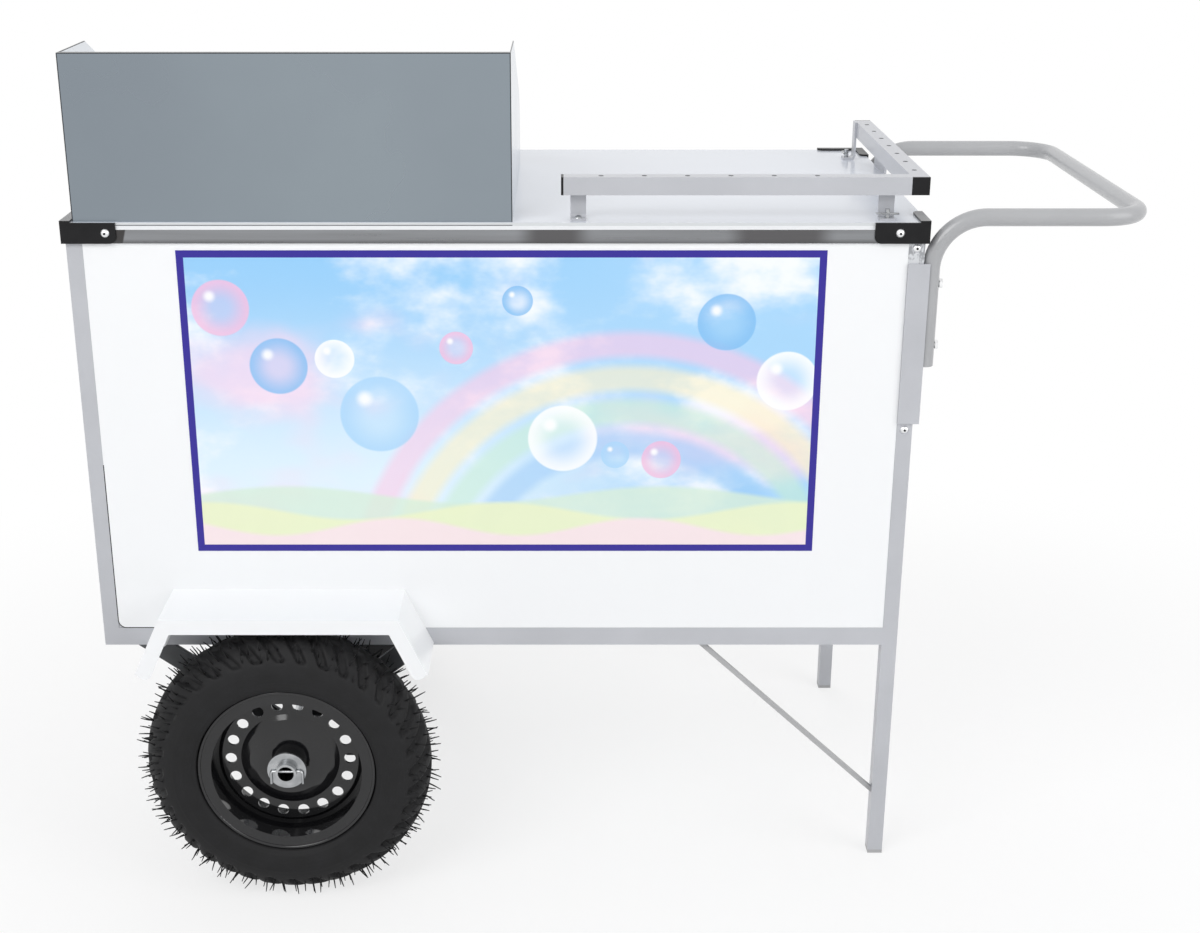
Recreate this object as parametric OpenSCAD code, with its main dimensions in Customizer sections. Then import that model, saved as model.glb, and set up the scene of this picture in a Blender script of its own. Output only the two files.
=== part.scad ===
// Street cart for spinning and selling candy floss: a tube-framed cabinet on two barrow wheels and
// two legs, with a push handle, a wind guard round the spinner and a rack for the sticks.
// +X points to the push handle, +Y to the vendor's side, +Z up.
// The origin is on the ground, under the middle of the outline.

/* [Cabinet frame] */
// Length of the cabinet over its posts
body_l = 1058; // [1000:1:1200]
// Depth of the cabinet over its posts
body_d = 520; // [500:1:620]
// Height of the deck above the ground
deck_h = 894; // [850:1:960]
// Height of the cabinet's underside above the ground
rail_z = 322; // [315:1:340]
// Height of the bottom rails
rail_h = 25; // [20:0.5:32]
// Side of the square frame tube
tube = 20; // [18:0.5:24]
// Wall of the frame's and the rack's tubes
tube_t = 1.2; // [1:0.1:2]
// Height of the plastic foot under each leg
foot_h = 5; // [3:0.5:10]
// Length of the foot's spigot inside the leg
foot_spigot = 22; // [10:1:40]
// Distance from the cabinet's right face to the top of the leg brace
brace_run = 263; // [200:1:300]
// Height of the leg brace's lower end above the ground
brace_z = 97; // [60:1:150]
// Side of the leg brace's bar
brace_w = 6; // [5:0.5:12]

/* [Panels] */
// Sheet thickness of the panels
panel_t = 1.2; // [0.8:0.1:2]
// Depth of the folded edge round each panel
panel_flange = 14; // [10:1:18]
// Radius of the panels' lower corners
panel_r = 10; // [6:1:30]
// Gap between a panel and the frame round it
panel_gap = 0.2; // [0.1:0.05:0.5]
// Thickness of the cabinet's floor
floor_t = 1.5; // [1:0.1:3]
// Width of the banner
banner_w = 804; // [600:1:860]
// Gap between the fender's top and the banner
banner_foot = 55; // [35:1:150]
// Thickness of the banner
banner_t = 0.3; // [0.2:0.05:0.6]
// Sideways shift of the banner from the middle of the panel
banner_shift = 7; // [-20:1:20]
// Gap between the banner's top and the deck's edge
banner_drop = 9; // [5:1:40]

/* [Door] */
// Distance from the cabinet's right face to the vendor's door
door_right = 128; // [90:1:250]
// Distance from the deck's frame down to the vendor's door
door_drop = 61; // [30:1:160]
// Depth of the door's folded edge
door_d = 14; // [10:0.5:20]
// Distance from the cabinet's left face to the door's hinge side
door_x = 450; // [420:1:470]
// Distance from the bottom rail's top to the door
door_z = 60; // [40:1:90]
// Width of panel that the door laps over all round
door_lap = 18; // [12:1:30]
// Gap between the door and the panel behind it
door_gap = 0.5; // [0.3:0.1:1]
// Distance from the door's upper and lower edges to its hinges
hinge_inset = 40; // [20:1:60]
// Length of each door hinge
hinge_l = 60; // [45:1:90]
// Radius of the hinge's barrel
hinge_r = 5; // [4:0.25:7]
// Radius of the hinge's pin
hinge_pin_r = 2.5; // [2:0.1:3]
// Width of the hinge's fixed leaf
hinge_leaf = 26; // [18:1:40]
// Thickness of the hinge's leaves
hinge_t = 2; // [1.5:0.1:3]
// Distance from the door's free edge to its pull bar
pull_inset = 40; // [25:1:80]
// Length of the door's pull bar
pull_l = 120; // [80:1:200]
// Radius of the pull bar and its posts
pull_r = 5; // [4:0.5:7]
// Room for fingers behind the pull bar
pull_room = 26; // [20:1:40]
// Distance from the door's upper edge down to the turn button
button_drop = 90; // [50:1:150]
// Gap between the door and the released turn button
button_gap = 6; // [4:0.5:12]
// Length of the turn button that keeps the door shut
button_l = 64; // [50:1:90]
// Width of the turn button
button_w = 16; // [14:1:24]
// Thickness of the turn button
button_t = 3; // [2:0.5:5]

/* [Deck] */
// Height of the frame round the deck
deck_frame_h = 25; // [22:1:32]
// Wall and ledge thickness of the deck's frame
deck_frame_t = 2; // [1.5:0.1:3]
// Overhang of the deck's frame past the posts
deck_over = 1; // [0.5:0.25:1.5]
// Thickness of the deck's top sheet
deck_sheet_t = 1; // [0.8:0.1:1.5]
// Height of the deck sheet's turned-down rim
deck_rim = 9; // [6:0.5:12]
// Radius of the hole in the deck for the spinner's shaft
deck_hole_r = 32; // [24:1:40]
// Thickness of the edge trim
trim_t = 1; // [0.8:0.1:1.5]
// Wall of the corner caps
cap_t = 2.5; // [2:0.25:4]
// Length of a corner cap along the front
cap_l = 68; // [64:1:90]
// Length of a corner cap along the side
cap_side = 60; // [45:1:80]
// Width of a corner cap's flange on top of the deck
cap_flange = 12.5; // [10:0.5:13]
// Thickness of a corner cap's flange
cap_flange_t = 2.5; // [1.5:0.25:4]
// Radius of a corner cap's rounded ends
cap_r = 8; // [4:0.5:9]
// Distance of the left caps' screws from the corner
cap_screw_left = 55; // [30:1:56]
// Distance of the right caps' screws from the corner
cap_screw_right = 37; // [20:1:56]
// Radius of a dome screw's head
dome_r = 5.5; // [4:0.5:6]
// Height of a dome screw's head
dome_h = 3.5; // [2:0.25:4]
// Radius of a dome screw's shank
dome_shank_r = 2.5; // [1.5:0.1:3]

/* [Wind guard] */
// Distance from the cabinet's left face to the guard
guard_x = 10; // [10:1:30]
// Distance from the cabinet's front face to the guard
guard_y = 2; // [0:0.5:12]
// Width of the guard
guard_w = 540; // [500:1:600]
// Height of the guard
guard_h = 203; // [160:1:240]
// Distance from the cabinet's back face to the guard's wings
guard_back = 123; // [80:1:200]
// Sheet thickness of the guard
guard_t = 1.2; // [0.8:0.1:2]
// Level stretch at the front of a wing's top edge
guard_level = 128; // [90:1:160]
// Fall of a wing's top edge, in degrees
guard_fall = 22; // [14:1:24]
// Radius of a wing's rear top corner
guard_r = 60; // [30:1:62]
// Width of the folded foot inside the guard
guard_foot = 18; // [14:1:24]
// Width of the folded hem along the guard's top
guard_hem = 10; // [5:1:12]

/* [Stick rack] */
// Gap between the guard and the rack
rack_gap = 59.5; // [30:0.5:70]
// Distance from the cabinet's front face to the rack
rack_y = 6; // [4:1:14]
// Distance from the cabinet's back face to the rack's far end
rack_back = 64; // [58:1:90]
// Side of the rack's square tubes
rack_tube = 22; // [20:0.5:25]
// Gap between the deck and the rack's tubes
rack_lift = 32; // [28:1:50]
// Radius of a stick hole
stick_r = 2; // [1.5:0.1:3]
// Number of stick holes in the front tube
stick_front_n = 6; // [3:1:7]
// Distance from the front tube's last stick hole to the side tube
stick_front_end = 114.5; // [60:0.5:160]
// Number of stick holes in the side tube
stick_side_n = 7; // [3:1:7]
// Distance from the side tube's last stick hole to its far end
stick_side_end = 41; // [30:1:100]
// Distance from a tube's end to its first stick hole
stick_start = 49; // [35:1:60]
// Width of the rack's strap feet
strap_w = 19.5; // [18:0.5:24]
// Thickness of the rack's strap feet
strap_t = 3; // [2:0.25:3]
// Length of a strap foot along the deck
strap_foot = 18; // [17:0.5:20]
// Bend radius inside a strap foot
strap_bend = 3; // [2:0.5:4]
// Distance from the rack's left end to its left foot
strap_left_x = 11.5; // [6:0.5:40]
// Distance from the cabinet's right face to the right foot
strap_right_x = 37.5; // [37:0.5:60]
// Distance from the rack's far end to its side plate
side_plate_back = 56; // [30:1:120]
// Width of the rack's side plate
side_plate_w = 83; // [40:1:90]
// Distance of the side plate's lower end above the trim's lower edge
side_plate_z = 4; // [0:1:10]
// Height over which the rack's side plate laps the tube
side_plate_lap = 14; // [8:1:18]
// Thickness of a tube plug's face
plug_t = 3; // [2:0.25:5]
// Length of a tube plug inside the tube
plug_l = 14; // [8:1:25]
// Radius of the studs that hold the rack
stud_r = 3; // [2.5:0.1:4]
// Height of a stud above its strap
stud_h = 11; // [9:0.5:16]
// Radius of a spring clip's wire
clip_r = 1; // [0.8:0.05:1.2]
// Length of a spring clip
clip_l = 28; // [22:1:40]

/* [Push handle] */
// Reach of the handle past the cabinet's right face
handle_reach = 286; // [240:1:360]
// Radius of the handle's tube
handle_r = 11; // [9:0.5:13]
// Wall of the handle's tube
handle_t = 1.5; // [1:0.1:2]
// Height of the handle's arms over the deck
handle_rise = 4; // [0:1:30]
// Radius of the bend at the top of each upright
handle_bend = 65; // [50:1:80]
// Radius of the handle's outer corners
handle_corner = 55; // [40:1:80]
// Distance from the arms down to the lower end of each upright
handle_drop = 189; // [175:1:210]
// Distance from the deck down to the top of the clamp plates
sleeve_drop = 52; // [50:1:60]
// Length of the clamp plates
sleeve_l = 208; // [180:1:220]
// Thickness of the clamp plates
sleeve_t = 3; // [2:0.25:4]
// Reach of the clamp plates past the leg, over the handle's tube
sleeve_out = 7.5; // [4:0.5:8]
// Radius of the handle's bolts
bolt_r = 3; // [2.5:0.1:4]
// Distance of the lower bolt above the upright's end
bolt_low = 27; // [14:1:30]
// Distance between the two bolts of an upright
bolt_pitch = 79; // [50:1:85]

/* [Wheels] */
// Diameter of the tyres
tyre_d = 376; // [360:1:384]
// Width of the tyres
tyre_w = 92; // [84:1:100]
// Thickness of the tyre's wall
tyre_t = 6; // [4:0.5:9]
// Distance from the cabinet's left face to the axle
wheel_x = 250; // [220:0.5:300]
// Distance from the cabinet's face to the wheel's middle
wheel_off = 67; // [62:1:80]
// Radius of the rim's flange
rim_r = 117; // [112:1:120]
// Radius of the rim's bead seat
rim_seat_r = 101.6; // [98:0.1:104]
// Width of the rim between its flanges
rim_w = 63.5; // [56:0.5:68]
// Sheet thickness of the rim
rim_t = 3; // [2:0.25:4]
// Number of round holes in the wheel's disc
disc_n = 18; // [8:1:20]
// Radius of the round holes in the disc
disc_hole_r = 7.5; // [5:0.25:8]
// Radius of the circle that the holes lie on
disc_pitch_r = 78.8; // [74:0.2:82]
// Radius of the hub's tube
hub_r = 22; // [20:0.5:26]
// Wall of the hub's tube
hub_t = 3; // [2:0.25:4]
// Reach of the hub on the outer side of the wheel's middle
hub_out = 30; // [26:0.5:32]
// Reach of the hub on the inner side of the wheel's middle
hub_in = 35; // [30:0.5:38]
// Length of each hub bush
bush_l = 18; // [12:0.5:24]
// Radius of the tyre valve's stem
valve_r = 4; // [3:0.25:5]
// Length of the tyre valve's stem
valve_l = 32; // [24:1:36]

/* [Axle and fenders] */
// Radius of the axle pipe
axle_r = 13.5; // [12:0.25:15]
// Bore radius of the axle pipe
axle_bore_r = 10.5; // [8:0.25:11]
// Reach of the axle past the outer washer
axle_end = 9; // [8:0.5:10]
// Radius of the axle's washers
washer_r = 25.5; // [24:0.5:30]
// Thickness of the axle's washers
washer_t = 3; // [2:0.25:4]
// Radius of the axle pin's wire
axle_pin_r = 1.8; // [1.4:0.1:2]
// Length of the axle pin's bent-down ends
axle_pin_l = 14; // [8:1:20]
// Reach of an axle bracket's left arm along the rail
bracket_left = 186; // [140:1:190]
// Reach of an axle bracket's right arm along the rail
bracket_right = 165; // [140:1:190]
// Width of an axle bracket's arms
bracket_w = 28; // [20:1:34]
// Thickness of an axle bracket
bracket_t = 6; // [4:0.5:8]
// Radius of an axle bracket's boss
bracket_boss_r = 21; // [20:0.5:26]
// Set-back of an axle bracket from the cabinet's face
bracket_y = 4; // [2:0.5:10]
// Gap between the tyre and the fender's top
fender_gap = 25.5; // [18:0.5:40]
// Width of the fender's flat top
fender_top = 306; // [280:1:330]
// Width across the fender's tails
fender_tails = 378; // [350:1:420]
// Drop of the fender's tails
fender_drop = 78; // [50:1:90]
// Reach of the fender past the cabinet's face
fender_out = 98; // [92:1:125]
// Depth of the fender's lip
fender_lip = 20; // [17:0.5:22]
// Radius of the lip's rounded ends
fender_r = 8; // [3:0.5:8]
// Sheet thickness of the fender
fender_t = 1.5; // [1:0.1:2.5]

/* [Spinner] */
// Gap between the floss bowl's rim and the guard
bowl_gap = 20.8; // [10:0.2:60]
// Width of the floss bowl's flat rim
bowl_rim = 8; // [5:0.5:12]
// Widening of the floss bowl from its base to its rim
bowl_flare = 38; // [20:1:60]
// Height of the floss bowl
bowl_h = 128; // [110:1:134]
// Sheet thickness of the floss bowl
bowl_t = 1.5; // [1:0.1:2.5]
// Height of the collar round the bowl's hole
bowl_collar = 40; // [20:1:55]
// Radius of the spinner head
head_r = 58; // [45:1:70]
// Height of the spinner head above the deck
head_z = 66; // [62:1:74]
// Thickness of the head's base and cap
head_t = 4; // [3:0.5:6]
// Radius of the sugar hole in the head's cap
head_hole_r = 24; // [16:1:30]
// Height of the heater band
heater_h = 30; // [20:1:40]
// Thickness of the heater band
heater_t = 2; // [1.5:0.25:3]
// Number of slots round the heater band
heater_n = 24; // [12:1:30]
// Radius of the spinner's shaft
shaft_r = 6; // [5:0.25:8]
// Radius of a slip ring
ring_r = 14; // [12:0.5:18]
// Height of a slip ring
ring_h = 8; // [6:0.5:9]
// Radius of the motor's housing
motor_r = 55; // [45:1:65]
// Height of the motor's housing
motor_h = 120; // [90:1:150]
// Thickness of the motor's end plates
motor_end = 6; // [4:0.5:10]
// Radius of the motor's rotor
rotor_r = 34; // [25:1:40]
// Height of the motor's rotor
rotor_h = 70; // [50:1:80]
// Side of the motor's mounting plate
mount_w = 160; // [140:1:200]
// Thickness of the motor's mounting plate
mount_t = 4; // [3:0.5:6]
// Height of the posts between the mounting plate and the deck
mount_post = 42; // [38:1:60]
// Radius of the posts above the mounting plate
mount_post_r = 9; // [6:0.5:12]

/* [Controls] */
// Distance from the control box's sides to the rocker switch and the heat knob
control_inset = 50; // [40:1:70]
// Distance from the cabinet's left face to the control box
control_x = 90; // [60:1:150]
// Gap between the control box and the deck's edge
control_drop = 50; // [30:1:90]
// Width of the control box
control_w = 190; // [170:1:240]
// Height of the control box
control_h = 120; // [100:1:160]
// Depth of the control box
control_d = 55; // [45:1:75]
// Wall of the control box
control_t = 2; // [1.5:0.1:3]
// Radius of the heat knob
knob_r = 18; // [14:0.5:24]
// Height of the heat knob
knob_h = 16; // [12:0.5:22]
// Radius of the heat knob's spindle
spindle_r = 3; // [2.5:0.1:4]
// Radius of the rocker switch
rocker_r = 11; // [9:0.5:13]
// Length of the rocker switch
rocker_l = 20; // [15:0.5:28]
// Reach of the rocker switch past the box
rocker_out = 4; // [3:0.25:5]
// Width of the power inlet
inlet_w = 30; // [26:1:36]
// Height of the power inlet
inlet_h = 24; // [20:1:30]
// Depth of the power inlet inside the box
inlet_d = 22; // [18:1:28]

/* [Fits] */
// Radial clearance of turning fits
run_fit = 0.05; // [0.02:0.01:0.1]
// Clearance of parts that are bolted or pushed together
seat_fit = 0.1; // [0.05:0.05:0.3]
// Gap between faces that slide past each other
slide_gap = 0.3; // [0.2:0.05:0.6]

/* [Hidden] */
$fn = 64;
cut = 1;

// Colours
frame_grey = "#b9bcc0";
panel_white = "#f4f5f7";
guard_grey = "#8b939b";
trim_grey = "#86868a";
cap_black = "#232325";
foot_grey = "#95969a";
bright_zinc = "#c4c8cb";
dark_steel = "#4d5053";
rim_black = "#17171a";
tyre_black = "#1e1e20";
spun_aluminium = "#d3d6d8";
brass_gold = "#b8964c";
board_brown = "#b08d63";
banner_blue = "#a9cdf0";
knob_red = "#9c2a24";

// Outline and levels
skin_over = deck_over + max(trim_t, deck_sheet_t);
cap_over = skin_over + cap_t;
overall_l = cap_over + body_l + handle_reach;
x_left = cap_over - overall_l / 2;
x_right = x_left + body_l;
y_front = -body_d / 2;
y_back = body_d / 2;
rail_top = rail_z + rail_h;
deck_frame_top = deck_h - deck_sheet_t;
deck_frame_z = deck_frame_top - deck_frame_h;
deck_rim_z = deck_h - deck_rim;
cap_h = deck_h - deck_frame_z;
panel_h = deck_frame_z - rail_top - 2 * panel_gap;
front_panel_w = body_l - 2 * tube - 2 * panel_gap;
left_panel_w = body_d - 2 * tube - 2 * panel_gap;
sleeve_room = sleeve_t + slide_gap;
right_panel_w = body_d - 2 * tube - 2 * sleeve_room;
fender_z = tyre_d + fender_gap + fender_t;
banner_z = fender_z + banner_foot;
banner_h = deck_frame_z - banner_drop - banner_z;

// Door and its fittings
door_x0 = x_left + door_x;
door_z0 = rail_top + door_z;
door_w = body_l - door_x - door_right;
door_h = deck_frame_z - door_drop - door_z0;
door_y0 = y_back + door_gap;
door_face = door_y0 + door_d;
hinge_reach = hinge_r + 3;
hinge_x = door_x0 - hinge_reach;
hinge_y = y_back + hinge_r + 2 * slide_gap;
knuckle = hinge_l / 3;
hinge_zs = [door_z0 + hinge_inset, door_z0 + door_h - hinge_inset - hinge_l];
pull_x = door_x0 + door_w - pull_inset;
pull_z = door_z0 + door_h / 2 - pull_l / 2;
button_x = door_x0 + door_w + button_w / 2 + button_gap;
button_z = door_z0 + door_h - button_drop;
button_boss_r = button_w / 2 - 1;
button_face = door_face + slide_gap;

// Wind guard
guard_d = body_d - guard_y - guard_back;
guard_room = min(guard_w / 2 - guard_t, body_d / 2 - guard_y - guard_t);

// Stick rack
rack_x = guard_x + guard_w + rack_gap;
rack_reach = body_d - rack_back;
side_plate_y = rack_reach - side_plate_back - side_plate_w;
rack_z = deck_h + rack_lift;
rack_top = rack_z + rack_tube;
rack_right = x_right + skin_over;
rack_side_x = rack_right - rack_tube;
rack_front_x = x_left + rack_x + plug_t;
rack_front_l = rack_side_x - rack_front_x;
rack_side_y = y_front + rack_y + plug_t;
rack_side_l = rack_reach - rack_y - 2 * plug_t;
stick_front_pitch = (plug_t + rack_front_l - stick_start - stick_front_end) / (stick_front_n - 1);
stick_side_pitch = (2 * plug_t + rack_side_l - stick_start - stick_side_end) / (stick_side_n - 1);
strap_y = y_front + rack_y + strap_foot;
strap_xs = [x_left + rack_x + strap_left_x, x_right - strap_right_x - strap_w];
strap_flat = strap_foot - strap_bend - strap_t;
stud_y = y_front + rack_y + strap_flat / 2;
back_strap_y = rack_side_y + rack_side_l - strap_w;
back_stud_x = rack_side_x - strap_foot + strap_flat / 2;
clip_z = deck_h + strap_t + stud_h / 2;

// Push handle
handle_z = deck_h + handle_rise;
handle_x = x_right + handle_r + seat_fit;
handle_y = y_front + tube / 2;
sleeve_z = deck_h - sleeve_drop - sleeve_l;
handle_out_x = x_right + handle_reach - handle_r;
handle_low_z = handle_z - handle_drop;
bolt_zs = [handle_low_z + bolt_low, handle_low_z + bolt_low + bolt_pitch];
dome_low_gap = 3;
dome_high_gap = 14;
leg_dome_zs = [sleeve_z - dome_low_gap - dome_r, sleeve_z + sleeve_l + dome_high_gap + dome_r];

// Wheels and axle, measured outwards from the wheel's middle
wheel_r = tyre_d / 2;
axle_x = x_left + wheel_x;
wheel_y = y_front - wheel_off;
tyre_mid_r = wheel_r - tyre_w / 2;
tread_half = tyre_w * 0.28;
tyre_bead = 10;
shoulder_drop = 6;
washer_out = hub_out + slide_gap;
pin_at = washer_out + washer_t + slide_gap + axle_pin_r;
axle_tip = washer_out + washer_t + axle_end;
washer_in = -hub_in - slide_gap - washer_t;
boss_end = washer_in - slide_gap;
disc_outer_z = -7;
disc_ring_z = -3;
disc_dome = 12;
disc_steps = 6;
disc_hub_r = hub_r + 6;
disc_ring_in = disc_pitch_r - disc_hole_r - 6;
disc_ring_out = disc_pitch_r + disc_hole_r + 4;
valve_side = 1.75;
valve_z = tyre_bead + valve_r + valve_side - rim_w / 2;

// Spinner, centred between the guard's wings
spin_x = x_left + guard_x + guard_w / 2;
bowl_r = guard_room - bowl_gap - bowl_rim;
bowl_base_r = bowl_r - bowl_flare;
board_z = deck_frame_z + deck_frame_t;
mount_z = board_z - mount_post - mount_t;
motor_z = mount_z - motor_h;
ring_gap = 4;
ring_zs = [mount_z + mount_t + 8, mount_z + mount_t + 8 + ring_h + ring_gap];
head_base_z = deck_h + head_z;
head_top_z = head_base_z + head_t + heater_h;
heater_r = head_r - 5;
mount_post_at = mount_w / 2 - 16;

// Controls on the vendor's side
control_x0 = x_left + control_x;
control_z0 = deck_frame_z - control_drop - control_h;
control_face = y_back + control_d;
knob_at = [control_x0 + control_w - control_inset, control_z0 + control_h / 2];
rocker_at = [control_x0 + control_inset, control_z0 + control_h / 2];
rocker_y = control_face - rocker_r + rocker_out;
rocker_half = sqrt(pow(rocker_r, 2) - pow(rocker_r - rocker_out - control_t, 2)) + slide_gap;
inlet_z = control_z0 + control_h / 2 - inlet_h / 2;
inlet_y = y_back + control_d / 2 - inlet_w / 2;

// Helpers

module both_sides() {
    children();
    mirror([0, 1, 0]) children();
}

module other_end() {
    translate([x_left + x_right, 0, 0]) mirror([1, 0, 0]) children();
}

// Rectangular tube standing on its corner at the origin
module box_tube(w, d, l) {
    difference() {
        cube([w, d, l]);
        translate([tube_t, tube_t, -cut]) cube([w - 2 * tube_t, d - 2 * tube_t, l + 2 * cut]);
    }
}

module tube_x(d, h, l) {
    translate([0, 0, h]) rotate([0, 90, 0]) box_tube(h, d, l);
}

module tube_y(w, h, l) {
    translate([0, 0, h]) rotate([-90, 0, 0]) box_tube(w, h, l);
}

// A flat outline stood up: its y becomes height, and it thickens towards +Y, -Y, +X or -X
module stand_in() {
    mirror([0, 1, 0]) rotate([90, 0, 0]) children();
}

module stand_out() {
    rotate([90, 0, 0]) children();
}

module stand_right() {
    rotate([90, 0, 90]) children();
}

module stand_left() {
    mirror([1, 0, 0]) rotate([90, 0, 90]) children();
}

module rod_y(r, y0, y1) {
    translate([0, y0, 0]) rotate([-90, 0, 0]) cylinder(r = r, h = y1 - y0);
}

module rod_x(r, x0, x1) {
    translate([x0, 0, 0]) rotate([0, 90, 0]) cylinder(r = r, h = x1 - x0);
}

// Outline with rounded lower corners
module tray_outline(w, h, r) {
    translate([r, 0]) square([w - 2 * r, h]);
    translate([0, r]) square([w, h - r]);
    translate([r, r]) circle(r);
    translate([w - r, r]) circle(r);
}

// Folded sheet panel: its face lies on z = 0 and its edges fold to +z
module tray(w, h) {
    difference() {
        linear_extrude(panel_flange) tray_outline(w, h, panel_r);
        translate([panel_t, panel_t, panel_t]) linear_extrude(panel_flange)
            tray_outline(w - 2 * panel_t, h - 2 * panel_t, panel_r - panel_t);
    }
}

// Dome-headed screw: the head rises to +z from z = 0, and the shank goes down
module dome_screw(shank) {
    ball_r = (pow(dome_r, 2) + pow(dome_h, 2)) / (2 * dome_h);
    intersection() {
        translate([0, 0, dome_h - ball_r]) sphere(ball_r);
        cylinder(r = dome_r, h = dome_h);
    }
    translate([0, 0, -shank]) cylinder(r = dome_shank_r, h = shank + cut / 2);
}

// Wire clip in the xy plane: one straight leg on the x axis, one bend and a shorter return leg
module wire_clip(r, l, gap) {
    back = gap / 2;
    translate([-l / 2, 0, 0]) rod_x(r, 0, l);
    translate([l / 2, back, 0]) rotate([0, 0, -90])
        rotate_extrude(angle = 180) translate([back, 0]) circle(r);
    translate([0, gap, 0]) rod_x(r, -l / 4, l / 2);
}

// Cabinet frame

module left_posts() {
    color(frame_grey) both_sides() translate([x_left, y_front, rail_z])
        box_tube(tube, tube, deck_frame_z - rail_z);
}

module legs() {
    hole_r = bolt_r + seat_fit;
    dome_hole_r = dome_shank_r + seat_fit;
    color(frame_grey) both_sides() difference() {
        translate([x_right - tube, y_front, foot_h]) box_tube(tube, tube, deck_frame_z - foot_h);
        for (z = bolt_zs) translate([0, handle_y, z]) rod_x(hole_r, x_right - tube / 2, x_right + cut);
        for (z = leg_dome_zs) translate([x_right - tube / 2, 0, z])
            rod_y(dome_hole_r, y_front - cut, handle_y);
    }
}

module bottom_rails() {
    color(frame_grey) {
        both_sides() translate([x_left + tube, y_front, rail_z]) tube_x(tube, rail_h, body_l - 2 * tube);
        for (x = [x_left, x_right - tube]) translate([x, y_front + tube, rail_z])
            tube_y(tube, rail_h, body_d - 2 * tube);
    }
}

// Angle ring: the wall stands outside, and the ledge below carries the deck's board
module top_frame() {
    l = body_l + 2 * deck_over;
    d = body_d + 2 * deck_over;
    color(frame_grey) difference() {
        translate([x_left - deck_over, y_front - deck_over, deck_frame_z]) cube([l, d, deck_frame_h]);
        translate([x_left - deck_over + deck_frame_t, y_front - deck_over + deck_frame_t, board_z])
            cube([l - 2 * deck_frame_t, d - 2 * deck_frame_t, deck_frame_h]);
        translate([x_left + tube, y_front + tube, deck_frame_z - cut])
            cube([body_l - 2 * tube, body_d - 2 * tube, deck_frame_h]);
    }
}

module leg_braces() {
    top_x = x_right - brace_run;
    low_x = x_right - tube;
    run = low_x - top_x;
    fall = rail_z - brace_z;
    slant = sqrt(pow(run, 2) + pow(fall, 2));
    half_x = brace_w / 2 * slant / fall;
    half_z = brace_w / 2 * slant / run;
    color(frame_grey) both_sides() translate([0, handle_y - brace_w / 2, 0]) stand_in()
        linear_extrude(brace_w) polygon([
            [top_x - half_x, rail_z], [top_x + half_x, rail_z],
            [low_x, brace_z + half_z], [low_x, brace_z - half_z]
        ]);
}

module leg_feet() {
    inner = tube - 2 * tube_t - 2 * seat_fit;
    side = tube_t + seat_fit;
    color(foot_grey) both_sides() translate([x_right - tube, y_front, 0]) {
        cube([tube, tube, foot_h]);
        translate([side, side, 0]) cube([inner, inner, foot_h + foot_spigot]);
    }
}

// Panels

module front_panel() {
    color(panel_white) translate([x_left + tube + panel_gap, y_front, rail_top + panel_gap]) stand_in()
        tray(front_panel_w, panel_h);
}

module left_panel() {
    color(panel_white) translate([x_left, y_front + tube + panel_gap, rail_top + panel_gap]) stand_right()
        tray(left_panel_w, panel_h);
}

module right_panel() {
    color(panel_white) translate([x_right, y_front + tube + sleeve_room, rail_top + panel_gap]) stand_left()
        tray(right_panel_w, panel_h);
}

module back_panel() {
    color(panel_white) difference() {
        translate([x_left + tube + panel_gap, y_back, rail_top + panel_gap]) stand_out()
            tray(front_panel_w, panel_h);
        translate([door_x0 + door_lap, y_back - panel_t - cut, door_z0 + door_lap])
            cube([door_w - 2 * door_lap, panel_t + 2 * cut, door_h - 2 * door_lap]);
        translate([button_x, 0, button_z])
            rod_y(dome_shank_r + run_fit, y_back - panel_t - cut, y_back + cut);
    }
}

module floor_panel() {
    edge = panel_flange + panel_gap;
    post = tube + panel_gap;
    color(panel_white) translate([0, 0, rail_top]) difference() {
        translate([x_left + edge, y_front + edge, 0]) cube([body_l - 2 * edge, body_d - 2 * edge, floor_t]);
        for (x = [x_left, x_right - post], y = [y_front, y_back - post])
            translate([x, y, -cut]) cube([post, post, floor_t + 2 * cut]);
    }
}

module banner() {
    mid_x = (x_left + x_right) / 2 + banner_shift;
    color(banner_blue) translate([mid_x - banner_w / 2, y_front - banner_t, banner_z])
        cube([banner_w, banner_t, banner_h]);
}

// Vendor's door

module back_door() {
    color(panel_white) difference() {
        translate([door_x0, door_y0, door_z0]) cube([door_w, door_d, door_h]);
        translate([door_x0 + panel_t, door_y0 - cut, door_z0 + panel_t])
            cube([door_w - 2 * panel_t, door_d - panel_t + cut, door_h - 2 * panel_t]);
    }
}

// Fixed half of each hinge: a leaf on the panel, two knuckles and the pin through them
module door_hinge_leaves() {
    color(bright_zinc) for (z = hinge_zs) translate([hinge_x, hinge_y, z]) {
        cylinder(r = hinge_pin_r, h = hinge_l);
        translate([-hinge_leaf, y_back - hinge_y, 0])
            cube([hinge_leaf - hinge_r - slide_gap, hinge_t, hinge_l]);
        for (end = [0, 2 * knuckle]) translate([0, 0, end]) {
            cylinder(r = hinge_r, h = knuckle);
            translate([-hinge_leaf, y_back - hinge_y, 0]) cube([hinge_leaf, hinge_t, knuckle]);
        }
    }
}

// Moving half of each hinge: a knuckle round the pin and a leaf on the door's edge
module door_knuckles() {
    h = knuckle - 2 * slide_gap;
    color(bright_zinc) for (z = hinge_zs)
        translate([hinge_x, hinge_y, z + knuckle + slide_gap]) difference() {
            union() {
                cylinder(r = hinge_r, h = h);
                translate([0, -hinge_t / 2, 0]) cube([hinge_reach, hinge_t, h]);
                translate([hinge_reach - hinge_t, door_y0 - hinge_y, 0]) cube([hinge_t, door_d, h]);
            }
            translate([0, 0, -cut]) cylinder(r = hinge_pin_r + run_fit, h = h + 2 * cut);
        }
}

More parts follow.
